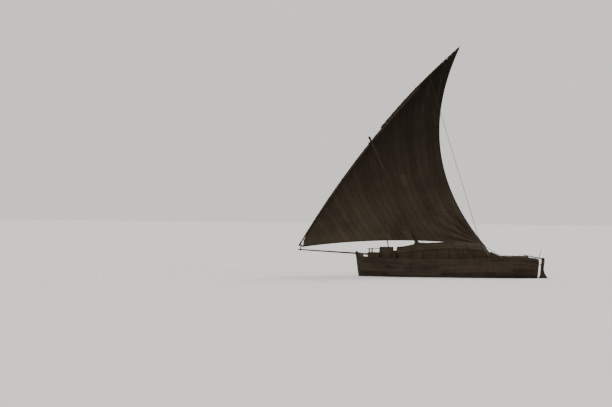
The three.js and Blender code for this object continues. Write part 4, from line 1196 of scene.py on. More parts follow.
# %% Screens of the cover and the bow
cover_screens = screen_grid(
    np.linspace(-3.56, 4.38, 90),
    lambda x: cover_half(x) - 0.012,
    lambda x: np.full(x.shape, SIDE_DECK_TOP + 0.002),
    lambda x: under_roof(x, cover_half(x)) + 0.01,
)
add_screens("cover_screen_mat", cover_screens, "cover_screen")
bow_screens = rail_screen(5.9, 6.9, columns=22, height=2.1, slope=0, bulge=0.006)
add_screens("bow_screen_mat", bow_screens, "bow_screen", pole_step=0.45)


# %% Quarter boards
def quarter_rings():
    """Two boards one above the other on each quarter."""
    at = scarfed(-7.0, -4.4, length=2.6, stations=24)
    bottom, top = cap_top(at), np.full(at.shape, 1.9)
    middle = (bottom + top) / 2
    inner, outer = half_at(at) - 0.06, half_at(at) - 0.03
    lower = lengthwise(at, inner, outer, bottom, middle - 0.003, chamfer=0.006)
    upper = lengthwise(at, inner, outer, middle + 0.003, top, chamfer=0.006)
    return both_sides(np.concatenate([lower, upper]))


quarter_boards = ("quarter_board_port", "quarter_board_starboard")
add_runs("quarter_boards", quarter_rings(), BOARDS, *quarter_boards, smooth=30)
post_at = np.linspace(-6.9, -4.5, 5)
post_low = cap_top(post_at)
post_feet = np.stack([along_hull(post_at, post_low), half_at(post_at) - 0.085, post_low], axis=-1)
post_heads = post_feet * (1, 1, 0) + (0, 0, 1.96)
post_section = squared(half=(0.025, 0.03), chamfer=0.006)
posts = carry(straight(post_feet, post_heads), post_section)
add_runs("quarter_posts", both_sides(posts), TIMBER)

# %% [markdown]
# ## Cover over the fore deck
#
# A smaller arched cover shelters gear on the fore deck. Its section is two upright sides and a crowned top;
# the corners are rounded by averaging each point with its neighbours along the arch.

# %% Fore cover
FORE_COVER = {"from": 4.74, "to": 5.88, "inboard": 0.4, "top": 2.61, "rise": 0.33}
RIB_STEP = 0.38


def arch_grid(places, inset, points=61):
    """Rows along the boat, each an arch from starboard foot to port foot."""
    rows = []
    for x in places:
        half = half_at(x) - FORE_COVER["inboard"] - inset
        y = np.linspace(-half, half, 41)
        crown = FORE_COVER["top"] - inset - FORE_COVER["rise"] * (y / half) ** 2
        y = np.concatenate([[-half], y, [half]])
        z = np.concatenate([[FORE_DECK_TOP], crown, [FORE_DECK_TOP]])
        length = np.concatenate([[0], np.hypot(np.diff(y), np.diff(z)).cumsum()])
        even = np.linspace(0, length[-1], points)
        arch = np.stack([np.interp(even, length, y), np.interp(even, length, z)], axis=-1)
        for _ in range(3):
            arch[1:-1] = (arch[:-2] + 2 * arch[1:-1] + arch[2:]) / 4
        rows.append(np.column_stack([np.full(points, x), arch]))
    return np.array(rows)


fore_places = np.linspace(FORE_COVER["from"], FORE_COVER["to"], 40)
fore_points = arch_grid(fore_places, 0.012)
dip = 0.018 * np.sin(math.pi * (fore_places - FORE_COVER["from"]) / RIB_STEP)[:, None] ** 2
fore_points[..., 2] -= dip * (fore_points[..., 2] > 2.0)
fore_points[..., 1] *= 1 - dip / 1.5
fore_mats = surface("fore_cover_mats", fore_points, MAT_THICK)
finished(fore_mats, MATTING, "fore_cover")
fore_ribs = arch_grid(FORE_COVER["from"] + RIB_STEP * np.arange(4), 0.04)
add_runs("fore_cover_ribs", carry(fore_ribs, circle(0.019, 8), (1, 0, 0)), POLE)

# %% [markdown]
# ## Rope, blocks and lashings
#
# Rope is a circle carried along a path. All paths are first cut into the same number of equal steps, so
# that many ropes become one mesh. A lashing runs round its spars like a rubber band: at each angle it
# touches the spar that reaches furthest that way, which is the outline of several circles.


# %% Rope helpers
PORT = np.array([0.0, 1, 0])
TURN_STEPS = 22  # points to a turn


def resampled(points, stations, sag):
    """A polyline cut into equal steps. The sag hangs it down by 4q(1-q) times a share of its length."""
    points = np.asarray(points, float)
    length = distances(points)
    even = np.linspace(0, length[-1], stations)
    path = np.stack([np.interp(even, length, points[:, axis]) for axis in range(3)], axis=-1)
    q = even / length[-1]
    path[:, 2] -= 4 * q * (1 - q) * sag * length[-1]
    return path


def ropes(
    name, paths, radius, reference=(0.1, 0.2, 1), *replaced, stations=None, sides=6, sag=0.0, body="hull"
):
    """Ropes of one radius along several polylines, as one piece. Each has as many stations as its line has
    points, unless told otherwise."""
    lines = [resampled(path, stations or len(path), sag) for path in paths]
    rings = carry(lines, circle(radius, sides), reference)
    return add_runs(name, rings, CORDAGE, *replaced, smooth=60, body=body)


def round_outline(centres, radii, angles):
    """Points of the tight outline round several circles, at the given angles."""
    centres, radii = np.asarray(centres, float), np.asarray(radii, float)
    direction = np.stack([np.cos(angles), np.sin(angles)], axis=-1)
    chosen = (direction @ centres.T + radii).argmax(axis=-1)
    return centres[chosen] + radii[chosen][:, None] * direction


def lashing(origin, forward, centres, radii, turns, pitch):
    """A rope wound round spars that run forward. Their middles are given in side, which is to port, and
    up."""
    forward = unit(np.asarray(forward, float))
    side = unit(PORT - forward * np.dot(PORT, forward))
    up = np.cross(forward, side)
    angles = np.linspace(0, 2 * np.pi * turns, turns * TURN_STEPS + 1)
    flat = round_outline(centres, radii, angles)
    travel = (angles / (2 * np.pi) - turns / 2) * pitch
    return np.asarray(origin) + flat[:, :1] * side + flat[:, 1:] * up + travel[:, None] * forward


def band(origin, forward, radius, turns, pitch):
    """Turns round one pole."""
    return lashing(origin, forward, [(0, 0)], [radius], turns, pitch)


def post_band(origin, forward, half, radius, turns, pitch):
    """Turns round a squared post of half a breadth and half a height, with a circle at each corner."""
    corners = [(a * half[0], b * half[1]) for a in SIDES for b in SIDES]
    return lashing(origin, forward, corners, [radius] * 4, turns, pitch)


# %% Spars and blocks
def add_spar(name, line, radii, sides, *replaced, smooth=40, body="hull"):
    """One pole along a line, with a radius at each station."""
    rings = carry(line, circle(radii, sides))[None]
    return add_runs(name, rings, POLE, *replaced, smooth=smooth, body=body)


def block_rings(centres, axes, length=0.3, breadth=0.13, depth=0.1):
    """Wooden blocks: flattened ovals, each along an axis, with a groove for the strop round the middle."""
    share = np.linspace(-1, 1, 13)
    swell = np.sqrt(np.maximum(1 - share**2, 0.06)) * (1 - 0.12 * (np.abs(share) < 0.12))
    rings = []
    for centre, axis in zip(np.asarray(centres, float), np.asarray(axes, float)):
        path = centre + share[:, None] * unit(axis) * length / 2
        section = circle(0.5, 14) * (breadth, depth)
        rings.append(carry(path, section[None] * swell[:, None, None]))
    return np.array(rings)


# %% [markdown]
# ## Mast
#
# One pole, thickest near the deck and thinner upwards, raking forward by nearly 25 degrees. It ends in a
# neck, where the stays are made fast, and a knob that stops them slipping off. A tapered cylinder would
# lack both, so a circle is carried up the axis with a radius at each height.

# %% The mast
MAST_FOOT = np.array([0.941, 0, -0.76])
MAST_LEAN = math.radians(24.8)
MAST_AXIS = np.array([math.sin(MAST_LEAN), 0, math.cos(MAST_LEAN)])
MAST_TOP = 12.21
MAST_LENGTH = (MAST_TOP - MAST_FOOT[2]) / MAST_AXIS[2]
# Columns: height along the mast from its foot or, if below zero, from its head; radius
MAST_PROFILE = np.array([
    [0.001, 0.152],
    [2.5, 0.156],
    [-0.56, 0.096],
    [-0.45, 0.078],
    [-0.3, 0.078],
    [-0.21, 0.106],
    [-0.05, 0.104],
    [-0.012, 0.085],
    [-0.001, 0.06],
])
MAST_PROFILE[:, 0] += np.where(MAST_PROFILE[:, 0] < 0, MAST_LENGTH, 0)


def mast_point(z):
    """The mast's middle at a height above the waterline."""
    return MAST_FOOT + MAST_AXIS * ((np.asarray(z, float)[..., None] - MAST_FOOT[2]) / MAST_AXIS[2])


def mast_radius(z):
    """The mast's radius at a height above the waterline."""
    return np.interp((np.asarray(z, float) - MAST_FOOT[2]) / MAST_AXIS[2], *MAST_PROFILE.T)


heights = np.unique(np.concatenate([MAST_PROFILE[:, 0], np.linspace(0.001, MAST_LENGTH - 0.56, 50)]))
mast_line = MAST_FOOT + heights[:, None] * MAST_AXIS
add_spar("mast_pole", mast_line, np.interp(heights, *MAST_PROFILE.T), 28, "mast", smooth=35)

wooldings = [
    band(mast_point(z), MAST_AXIS, mast_radius(z) + 0.011, turns=7, pitch=0.024)
    for z in (3.5, 5.3, 7.2, 9.1, 10.6)
]
ropes("mast_wooldings", wooldings, 0.012)


# %% The coat round its foot
def coat_grid():
    """A canvas skirt from the gate's edge up to the mast, drawn in like a sleeve: rows blend a rounded
    rectangle into the mast's circle, and folds are deepest halfway up."""
    angles = np.linspace(0, 2 * np.pi, 73)
    centre = (MAST_GATE[0] + MAST_GATE[1]) / 2
    reach_x, reach_y = (MAST_GATE[1] - MAST_GATE[0]) / 2 + 0.06, MAST_GATE[2] + 0.06
    corner = 0.12
    boxes = [(sx * (reach_x - corner), sy * (reach_y - corner)) for sx in (-1, 1) for sy in (-1, 1)]
    low = round_outline(boxes, [corner] * 4, angles) + (centre, 0)
    base = np.column_stack([low, roof_top(low[:, 0], low[:, 1]) + 0.014])
    top_z = 3.02
    top_centre = mast_point(top_z)
    radius = mast_radius(top_z) + 0.014
    ring = np.column_stack([np.cos(angles) / MAST_AXIS[2], np.sin(angles)]) * radius
    crown = np.column_stack([top_centre[0] + ring[:, 0], ring[:, 1], np.full(73, top_z)])
    share = np.linspace(0, 1, 16)[:, None, None]
    grid = base + (crown - base) * share**0.55
    grid[..., 2] = base[:, 2] + (crown[:, 2] - base[:, 2]) * share[..., 0] ** 2.4
    fold = 0.012 * np.sin(9 * angles) * np.sin(math.pi * share[..., 0])
    grid[..., 0] += fold * np.cos(angles)
    grid[..., 1] += fold * np.sin(angles)
    grid[:, -1] = grid[:, 0]
    return grid


coat_points = coat_grid()
coat = surface("mast_coat", coat_points, thick=0.008)
finished(coat, CANVAS)
coat_turns = band(mast_point(2.98), MAST_AXIS, mast_radius(2.98) + 0.034, turns=5, pitch=0.022)
ropes("coat_lashing", [coat_turns], 0.011)

# %% [markdown]
# ## Yard
#
# No tree is long enough for this yard, so a lighter top pole is lashed beside its upper part and runs on
# above it. The whole yard bows under the sail's pull: its middle line is a straight line pushed out by
# 4t(1-t) times the bow.

# %% The yard's poles
YARD_HEEL = np.array([13.0, -0.12, 2.56])
YARD_PEAK = np.array([-0.93, -0.4, 20.17])
YARD_BOW = 0.75
YARD_CHORD = YARD_PEAK - YARD_HEEL
OUTWARD = unit(np.array([YARD_CHORD[2], 0, -YARD_CHORD[0]]))
YARD_RADII = np.array([[0, 0.052], [0.2, 0.095], [0.45, 0.122], [0.62, 0.112], [0.78, 0.08]])
TOP_RADII = np.array([[0.56, 0.055], [0.7, 0.066], [0.85, 0.055], [1, 0.036]])
HEEL_RING_AT, SLING_AT = 0.016, 0.49
TOP_START, MAIN_END = 0.56, 0.78  # the two poles lie side by side between these


def yard_at(t):
    """The yard's middle line."""
    t = np.asarray(t, float)[..., None]
    return YARD_HEEL + YARD_CHORD * t + OUTWARD * (4 * YARD_BOW * t * (1 - t))


def yard_radius(t):
    """Radius of the main pole."""
    return np.interp(t, *YARD_RADII.T)


def top_radius(t):
    """Radius of the top pole."""
    return np.interp(t, *TOP_RADII.T)


def top_offset(t):
    """How far the top pole's middle lies from the yard's line: both radii, then less and less above the
    main pole."""
    beside = np.minimum(t, MAIN_END)
    both = yard_radius(beside) + top_radius(beside) + 0.001
    return both * np.minimum(1, (1 - np.asarray(t)) / (1 - MAIN_END))


main_t = np.linspace(0, MAIN_END, 90)
knobbly = 1 + 0.012 * np.sin(37 * main_t) + 0.008 * np.sin(91 * main_t + 1)
add_spar("yard_main_pole", yard_at(main_t), yard_radius(main_t) * knobbly, 20, "yard", body="rig")
top_t = np.linspace(TOP_START, 1, 60)
top_line = yard_at(top_t) + OUTWARD * top_offset(top_t)[:, None]
top_radii = top_radius(top_t) * (1 + 0.015 * np.sin(60 * top_t))
add_spar("yard_top_pole", top_line, top_radii, 16, "yard_top", body="rig")


# %% Turns round the yard
def yard_frame(t):
    """Middle and direction of the yard, from heel to peak."""
    return yard_at(t), yard_at(t + 0.001) - yard_at(t - 0.001)


def yard_turns(t, turns, pitch, room, *others):
    """Turns round the poles that the yard has at a place, and round others, each a middle and a radius. Up
    is the yard's inner side here."""
    spars = list(others)
    if t <= MAIN_END:
        spars.append(((0, 0), yard_radius(t) + room))
    if t >= TOP_START:
        spars.append(((0, -top_offset(t)), top_radius(t) + room))
    centres, radii = zip(*spars)
    return lashing(*yard_frame(t), centres, radii, turns, pitch)


# Shares of the yard where both poles are lashed together, and where turns guard one pole
BOTH_AT = (0.572, 0.598, 0.632, 0.666, 0.7, 0.734, 0.764)
ONE_AT = (0.06, 0.13, 0.22, 0.31, 0.4, 0.455, 0.525)
fish_bands = [yard_turns(t, turns=8, pitch=0.026, room=0.013) for t in BOTH_AT]
ropes("yard_fish_lashings", fish_bands, 0.013, body="rig")
single_bands = [yard_turns(t, turns=5, pitch=0.026, room=0.013) for t in ONE_AT]
ropes("yard_wooldings", single_bands, 0.012, body="rig")
heel_turns = band(*yard_frame(HEEL_RING_AT), radius=0.062, turns=5, pitch=0.02)
ropes("heel_service", [heel_turns], 0.0095, body="rig")

# %% [markdown]
# ## Sail
#
# A lateen sail is sewn from narrow cloths that run beside its free after edge, the leech. It is laced to
# the yard along the luff and held at its two lower corners, the tack and the clew. A simulated cloth would
# need wind tuned for minutes, so the wind's shape is worked out: each row from luff to leech bellies out by
# a sine, and folds are added on top where ropes pull: scallops between the lacings, a fluttering leech, and
# creases that spread from the clew.

# %% The sail's shape
CLEW = np.array([-3.29, -2.3, 2.77])
LUFF_FROM, LUFF_TO = 0.0088, 0.993
LEECH_HOLLOW, LEECH_LEAN = 2.77, 0.35
LEECH_LENGTH = 18.0  # about, for the clew's creases
FOOT_ARCH = 0.5
BELLY = 0.085
PLEAT, FLUTTER, CREASE, DRAPE = 0.022, 0.05, 0.045, 0.03  # depths of the folds
ROBANDS = 46
SAIL_THICK = 0.008
BOLT_ROPE = 0.019
SLING_SWELL = 0.13
SLING_ROOM = 0.017  # share of the yard on each side of the sling that has no lacing
# Columns: share of the yard, how far the sail's edge lies inside the yard's line, and how far to leeward of
# it. It runs from the tack up to the pole's lee side, passes behind the main pole's end and goes on along
# the top pole.
LUFF_SET = np.array([
    [0, 0.37, 0.03],
    [0.0088, 0.35, 0.03],
    [0.03, 0.12, 0.05],
    [0.05, 0.063, 0.053],
    [0.2, 0.087, 0.073],
    [0.45, 0.108, 0.090],
    [0.62, 0.100, 0.084],
    [0.758, 0.078, 0.066],
    [0.768, 0.020, 0.110],
    [0.778, -0.072, 0.108],
    [0.788, -0.078, 0.070],
    [0.8, -0.074, 0.050],
    [0.87, -0.032, 0.046],
    [0.93, 0.020, 0.041],
    [0.97, 0.034, 0.038],
    [1, 0.045, 0.035],
])
ROBAND_T = np.linspace(0.03, 0.985, ROBANDS)


def swell_at(t):
    """How far the sail is pushed to leeward round the sling."""
    return SLING_SWELL * np.exp(-(((np.asarray(t, float) - SLING_AT - 0.002) / 0.012) ** 4))


def luff_set(t):
    """How far the sail's edge lies inside the yard's line and to leeward of it: the table, with a scallop
    between lacings and the sling's swell."""
    t = np.asarray(t, float)
    row = np.clip(np.searchsorted(ROBAND_T, t) - 1, 0, ROBANDS - 2)
    q = np.clip((t - ROBAND_T[row]) / (ROBAND_T[1] - ROBAND_T[0]), 0, 1)
    scallop = 0.012 * np.sin(math.pi * q) ** 2 * (t > ROBAND_T[0])
    inside, leeward = (np.interp(t, LUFF_SET[:, 0], LUFF_SET[:, column]) for column in (1, 2))
    return inside + 0.8 * scallop, leeward + 0.6 * scallop + swell_at(t)


def yard_share(v):
    """The share of the yard beside the sail's edge, v of the way up the sail."""
    return LUFF_FROM + (LUFF_TO - LUFF_FROM) * np.asarray(v, float)


def luff_at(v):
    """The sail's edge beside the yard."""
    t = yard_share(v)
    inside, leeward = luff_set(t)
    return yard_at(t) - OUTWARD * inside[..., None] - PORT * leeward[..., None]


# %% The sail's surface
LEECH_CHORD = luff_at(1.0) - CLEW
TO_BOW = unit(np.array([LEECH_CHORD[2], 0, -LEECH_CHORD[0]]))


def leech_at(v):
    """The leech: a straight line from clew to peak, hollowed towards the bow by 4v(1-v), and leaning to
    leeward."""
    v = np.asarray(v, float)[..., None]
    hollow = TO_BOW * (4 * LEECH_HOLLOW * v * (1 - v))
    return CLEW + LEECH_CHORD * (v * 0.997) + hollow - PORT * LEECH_LEAN * np.sin(math.pi * v)


def sail_at(u, v):
    """u runs from luff to leech, v from foot to peak. Straight rows would carry the sling's swell to the
    leech, so it is taken out along them, and dies out within a metre instead."""
    u, v = np.broadcast_arrays(np.asarray(u, float), np.asarray(v, float))
    luff, leech = luff_at(v), leech_at(v)
    breadth = np.linalg.norm(leech - luff, axis=-1)
    point = luff + (leech - luff) * u[..., None]
    belly = BELLY * breadth * np.sin(math.pi * u**0.8) * (0.55 + 0.45 * np.minimum(1, 4 * v))
    near_luff = np.exp(-u * breadth / 0.6)
    pleats = PLEAT * near_luff * np.cos(2 * math.pi * (v - 0.02) * ROBANDS) * np.minimum(1, breadth)
    near_leech = np.exp(-(1 - u) * breadth / 1.1)
    flutter = FLUTTER * near_leech * np.sin(23 * v + 1.2) * np.sin(math.pi * v) * u
    from_clew = np.hypot((1 - u) * breadth, v * LEECH_LENGTH)
    fan = np.arctan2(v * LEECH_LENGTH, (1 - u) * breadth + 1e-6)
    near_clew = np.exp(-((from_clew - 1.8) / 2.6) ** 2)
    creases = CREASE * near_clew * np.sin(17 * fan) * np.minimum(1, from_clew)
    drape = DRAPE * np.sin(5.5 * u + 9 * v) * np.sin(math.pi * u) * np.minimum(1, breadth / 3)
    swell = swell_at(yard_share(v)) * (np.exp(-u * breadth) - (1 - u))
    point[..., 1] -= belly + pleats + flutter + creases + drape + swell
    point[..., 2] += 4 * FOOT_ARCH * u * (1 - u) * (1 - v) ** 6
    return point


# %% Make the sail
ROWS, COLUMNS = 260, 110
sail_u, sail_v = np.meshgrid(np.linspace(0, 1, COLUMNS), np.linspace(0, 1, ROWS))
sail_points = sail_at(sail_u, sail_v)
sail_breadth = np.linalg.norm(leech_at(sail_v) - luff_at(sail_v), axis=-1)
leech_run = distances(leech_at(np.linspace(0, 1, ROWS)))
sail_uv = np.stack([(1 - sail_u) * sail_breadth, np.broadcast_to(leech_run[:, None], sail_u.shape)], axis=-1)
sail = surface("lateen_sail", sail_points, SAIL_THICK, None, sail_uv)
finished(sail, CANVAS, "sail", body="rig")

# %% [markdown]
# ## Bolt rope and lacings
#
# The sail's edge is sewn to a rope that takes the strain. Short lacings pass round the yard and that rope,
# one between each two scallops. Each is two turns of the same tight outline as a lashing, this time round
# the yard and the sail's edge.

# %% Edge ropes and lacings
edge_share = np.linspace(0, 1, 400)
sail_edges = [luff_at(edge_share), sail_at(1.0, edge_share), sail_at(edge_share, 0.0)]
bolt_rings = carry(sail_edges, circle(BOLT_ROPE, 8), (0.2, 1, 0.1))
add_runs("bolt_ropes", bolt_rings, CORDAGE, smooth=60, body="rig")


def roband(t, turns=2, pitch=0.03):
    """A lacing round the yard's poles and the sail's edge."""
    inside, leeward = luff_set(t)
    return yard_turns(t, turns, pitch, 0.009, ((-leeward, inside), BOLT_ROPE + 0.008))


ropes("robands", [roband(t) for t in ROBAND_T if abs(t - SLING_AT) > SLING_ROOM], 0.009, body="rig")
ropes("tack_lashing", [roband(0.0075, turns=5, pitch=0.024)], 0.011, body="rig")
clew_grommet = band(CLEW + (0.03, 0, 0.02), (0.2, 1, 0.1), radius=0.055, turns=3, pitch=0.022)
ropes("clew_grommet", [clew_grommet], 0.014, body="rig")

# %% [markdown]
# ## Sling, bowsprit and tack strop
#
# The yard hangs in a rope sling round the mast, and its heel turns in a strop lashed to the bowsprit's end.
# Both stay with the hull when the yard swings, so they leave room round it. The bowsprit is a pole against
# the stem's port side, lashed there and to the bitts.

# %% The sling
sling_at = yard_at(SLING_AT)
heel_at = yard_at(HEEL_RING_AT)
SWING_AXIS = unit(sling_at - heel_at)
sling_corners = [(sling_at[0] + dx, y) for dx in (-0.155, 0.14) for y in (sling_at[1] - 0.074, 0.037)]


def sling_turn(level):
    """One turn of the sling in plan, round four corner circles, at a height."""
    flat = round_outline(sling_corners, [0.079] * 4, np.linspace(0, 2 * np.pi, 61))
    return np.column_stack([flat, np.full(61, sling_at[2] + level)])


sling_paths = [sling_turn(level) for level in (-0.03, 0.004, 0.038)]
add_runs("yard_sling_turns", carry(sling_paths, circle(0.017, 8), (0, 0, 1)), CORDAGE, "yard_sling")
seizing_at = np.array([sling_at[0] + 0.05, 0.113, sling_at[2] + 0.004])
seizings = [
    lashing(seizing_at + (dx, 0, 0), (1, 0, 0), [(0, -0.03), (0, 0.03)], [0.022] * 2, turns=5, pitch=0.02)
    for dx in (-0.16, 0.02)
]
ropes("sling_seizing", seizings, 0.009, (0, 1, 0.2))

# %% Bowsprit and tack strop
SPRIT_FROM, SPRIT_TO = 6.4, 13.02
SPRIT_HEIGHT, SPRIT_RISE = 2.0, 0.0541  # at the stem, and for each metre forward
SPRIT_END = 0.028  # how far to port it still lies at its end
STEM_FACE = float(stem_x(2.19))
STEM_SIDE = 0.0753  # half the stem's thickness, and a little room
STROP_EYE = 0.094  # radius of the strop round the yard's heel


def sprit_radius(x):
    """Radius of the bowsprit."""
    return np.interp(x, [SPRIT_FROM, SPRIT_TO], [0.077, 0.05])


SPRIT_AT_STEM = STEM_SIDE + float(sprit_radius(STEM_FACE))


def sprit_point(x):
    """The bowsprit's middle line: it lies against the stem's port side and comes in to the end."""
    x = np.asarray(x, float)
    forward = x - STEM_FACE
    slope = (SPRIT_END - SPRIT_AT_STEM) / (SPRIT_TO - STEM_FACE)
    return np.stack([x, SPRIT_AT_STEM + slope * forward, SPRIT_HEIGHT + SPRIT_RISE * forward], axis=-1)


sprit_x = np.linspace(SPRIT_FROM, SPRIT_TO, 60)
sprit_radii = sprit_radius(sprit_x) * (1 + 0.01 * np.sin(5 * sprit_x))
add_spar("bowsprit_pole", sprit_point(sprit_x), sprit_radii, 18, "bowsprit")
sprit_forward = sprit_point(13.0) - sprit_point(12.0)
collar_at, collar_radius = sprit_point(heel_at[0]), sprit_radius(heel_at[0])
strop_paths = [
    band(heel_at, SWING_AXIS, STROP_EYE, turns=2, pitch=0.024),
    band(collar_at, sprit_forward, collar_radius + 0.017, turns=4, pitch=0.03),
]
for dx in (-0.025, 0.0, 0.025):
    strop_paths.append([heel_at + (dx, STROP_EYE, 0), collar_at + (dx, 0, collar_radius + 0.02)])
ropes("tack_strop_ropes", strop_paths, 0.016, (0.1, 0.3, 1), "tack_strop", stations=67, sides=8)

# %% The bowsprit's lashings
gammoning_x = STEM_FACE - 0.1
gammoning_at, gammoning_radii = [(0, 0), (-0.16, 0)], [sprit_radius(gammoning_x) + 0.012, 0.09]
gammoning = lashing(
    sprit_point(gammoning_x), sprit_forward, gammoning_at, gammoning_radii, turns=6, pitch=0.026
)
ropes("bowsprit_gammoning", [gammoning], 0.012, (0, 0.2, 1))
bitt_bands = [
    band(sprit_point(x), sprit_forward, sprit_radius(x) + 0.011, turns=5, pitch=0.024)
    for x in (6.47, 6.7, 6.95)
]
ropes("bitt_lashings", bitt_bands, 0.011, (0, 0.2, 1))

# %% [markdown]
# ## Stays, runner and halyard
#
# A dhow's shrouds are ropes that end in tackles, so that they can be let go and set up on the other side.
# From the masthead a stay runs to a block, and from the block several parts run to another at the rail. The
# frame's rods stand for stay and tackle together.

# %% Standing rigging
def rail_foot(x):
    """Where a stay meets the rail."""
    return np.array([x, half_at(x) - 0.04, cap_top(x) - 0.01])


def tackle(top, foot, height, parts, spread=0.045, foot_length=0.28):
    """A stay from top to a block at a height, and parts from there to a block near its foot. Returns the
    paths and the two blocks' places and axes."""
    top, foot = np.asarray(top, float), np.asarray(foot, float)
    line = foot - top
    at = top + line * ((top[2] - height) / (top[2] - foot[2]))
    near = foot - unit(line) * foot_length
    aside = unit(np.cross(line, (0, 1, 0)))
    offsets = [aside * spread * (k - (parts - 1) / 2) for k in range(parts)]
    paths = [[top, at - unit(line) * 0.1]]
    paths += [[at + o * 0.8 + unit(line) * 0.08, near + o - unit(line) * 0.06] for o in offsets]
    paths.append([near, foot])
    return paths, [at, near], [line, line]


# Columns: rod, its top, x of its foot at the rail, height of its upper block, parts between the blocks
STAY_TABLE = [
    ("stay_fore", (6.555, 0.075, 11.33), 4.95, 5.45, 3),
    ("stay_aft", (6.555, 0.075, 11.48), -2.65, 2.9, 3),
    ("runner", (6.475, 0.075, 11.2), -1.45, 8.94, 2),
]
block_places, block_axes = [], []
for name, top, foot_x, height, parts in STAY_TABLE:
    paths, places, axes = tackle(top, rail_foot(foot_x), height, parts)
    ropes(name + "_ropes", paths, 0.016, (1, 0, 0), name, stations=30, sides=8, sag=0.002)
    block_places += places
    block_axes += axes

# %% Halyard
halyard_top, halyard_block = np.array([6.53, 0.0, 11.52]), np.array([2.55, 0, 3.86])
post_head = np.array([1.5, 0, 2.0])
upper = [[halyard_top + (0, 0.045 * k, 0), halyard_block + (0.05, 0.04 * k, 0.1)] for k in (-1, 0, 1)]
lower = [
    [halyard_block + (-0.03, 0.035 * k, -0.08), post_head + (0.02, 0.04 * k, -0.12)]
    for k in (-1.5, -0.5, 0.5, 1.5)
]
ropes("halyard_ropes", upper + lower, 0.014, (0, 1, 0), "halyard", stations=30, sides=8)
block_places.append(halyard_block)
block_axes.append(halyard_top - halyard_block)
belay = [
    post_band((1.5, 0, z), (0, 0, 1), half=(0.07, 0.07), radius=0.034, turns=4, pitch=0.03)
    for z in (1.72, 1.9)
]
ropes("halyard_turns", belay, 0.013, (1, 0.2, 0))
neck_turns = [
    band(mast_point(z), MAST_AXIS, radius, turns=4, pitch=0.034)
    for z, radius in ((11.36, 0.113), (11.56, 0.108), (11.8, 0.098))
]
ropes("masthead_turns", neck_turns, 0.016)

# %% [markdown]
# ## Ropes between the hull and the rig
#
# The sheet holds the clew, and a vang steadies the upper yard from the weather side. Their upper ends swing
# with the rig and their lower ends stay; here each is one fixed piece that rides on no body.

# %% Sheet and vang
VANG_AT = 0.838
PIN_INBOARD, PIN_BELOW, PIN_ABOVE = 0.1, 0.16, 0.24
vang_top = yard_at(VANG_AT) + OUTWARD * top_offset(VANG_AT)
vang_foot = np.array([-3.2, half_at(-3.2) - PIN_INBOARD, cap_top(-3.2) + 0.16])
clew_end = CLEW + (-0.02, 0, -0.04)
sheet_foot = np.array([-4.9, -1.56, 1.8])


def between(name, paths, radius):
    """Ropes from the rig down to the hull, as fixed pieces that ride on no body."""
    made = np.array([resampled(path, stations=60, sag=0.004) for path in paths])
    piece = add_runs(name, carry(made, circle(radius, 8), (1, 0.2, 0)), CORDAGE, smooth=60, body=None)
    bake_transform(piece)


between("vang_rope", [[vang_top, vang_foot]], 0.019)
between(
    "sheet_ropes",
    [[clew_end + (0, 0.03 * k, 0), sheet_foot + (0.075, 0.04 * k, 0)] for k in (-1, 1)],
    0.016,
)

# %% Pins, turns and blocks
vang_turns = band(vang_top, yard_frame(VANG_AT)[1], top_radius(VANG_AT) + 0.012, turns=5, pitch=0.024)
ropes("vang_lashing", [vang_turns], 0.012, body="rig")
pin_x = np.array([-3.2, -2.65, -1.45, 4.95])
pins = np.stack([pin_x, half_at(pin_x) - PIN_INBOARD, cap_top(pin_x)], axis=-1)
pin_paths = straight(pins - (0, 0, PIN_BELOW), pins + (0, 0, PIN_ABOVE), 7)
pin_radii = np.array([0.012, 0.014, 0.016, 0.017, 0.02, 0.024, 0.02])
add_runs("belaying_pins", carry(both_sides(pin_paths), circle(pin_radii, 10), (1, 0, 0)), TIMBER)
coils = [band(pin + (0, 0, 0.1), (0, 0, 1), radius=0.032, turns=4, pitch=0.026) for pin in pins]
ropes("belayed_turns", coils, 0.013, (1, 0.2, 0))
bitt_turns = [
    post_band((-4.9, y, 1.78), (0, 0, 1), half=(0.055, 0.055), radius=0.03, turns=4, pitch=0.034)
    for y in (1.56, -1.56)
]
ropes("bitt_turns", bitt_turns, 0.015, (1, 0.2, 0))
add_runs("rigging_blocks", block_rings(block_places, block_axes), TIMBER, smooth=50)

# %% [markdown]
# ## Rudder, tiller and stern
#
# The rudder hangs outside the sternpost on pintles. It is built of thick planks held by iron straps, and a
# socket on its head takes the tiller, which leads forward over the stern rail. Its solids have the right
# outline, so they are rounded as the baulks were, and the straps are laid on.

# %% Steering gear
soften("rudder", TIMBER, 0.012, name="rudder_blade", body="rudder_body")
soften("tiller", TIMBER, 0.010, name="tiller_bar", body="rudder_body")
for node in ("gudgeon_upper", "gudgeon_lower"):
    soften(node, IRON, 0.003, name=node + "_strap")
RAKE = math.atan(STERN_RAKE)
POST_FACE = -7.87  # the sternpost's after face at the waterline
STRAP_OUT = 0.062  # how far the straps lie from the rudder's middle


def from_stern(points):
    """Points given along the raked sternpost (x forward of its after face, z up it) become points of the
    boat."""
    points = np.asarray(points, float)
    x = POST_FACE + points[..., 0] * math.cos(RAKE) - points[..., 2] * math.sin(RAKE)
    z = points[..., 0] * math.sin(RAKE) + points[..., 2] * math.cos(RAKE)
    return np.stack([x, points[..., 1], z], axis=-1)


def strap_rings():
    """Iron straps on both faces of the rudder: flat bars from near the pins back across the planks."""
    rings = []
    for z, reach in ((1.32, 0.44), (0.86, 0.42), (-0.35, 0.92), (-0.95, 1.05)):
        for sign in SIDES:
            y = sign * STRAP_OUT
            line = from_stern(straight((-0.2, y, z), (-reach, y, z), 6))
            rings.append(carry(line, squared(half=(0.006, 0.03), chamfer=0.002)))
    return np.array(rings)


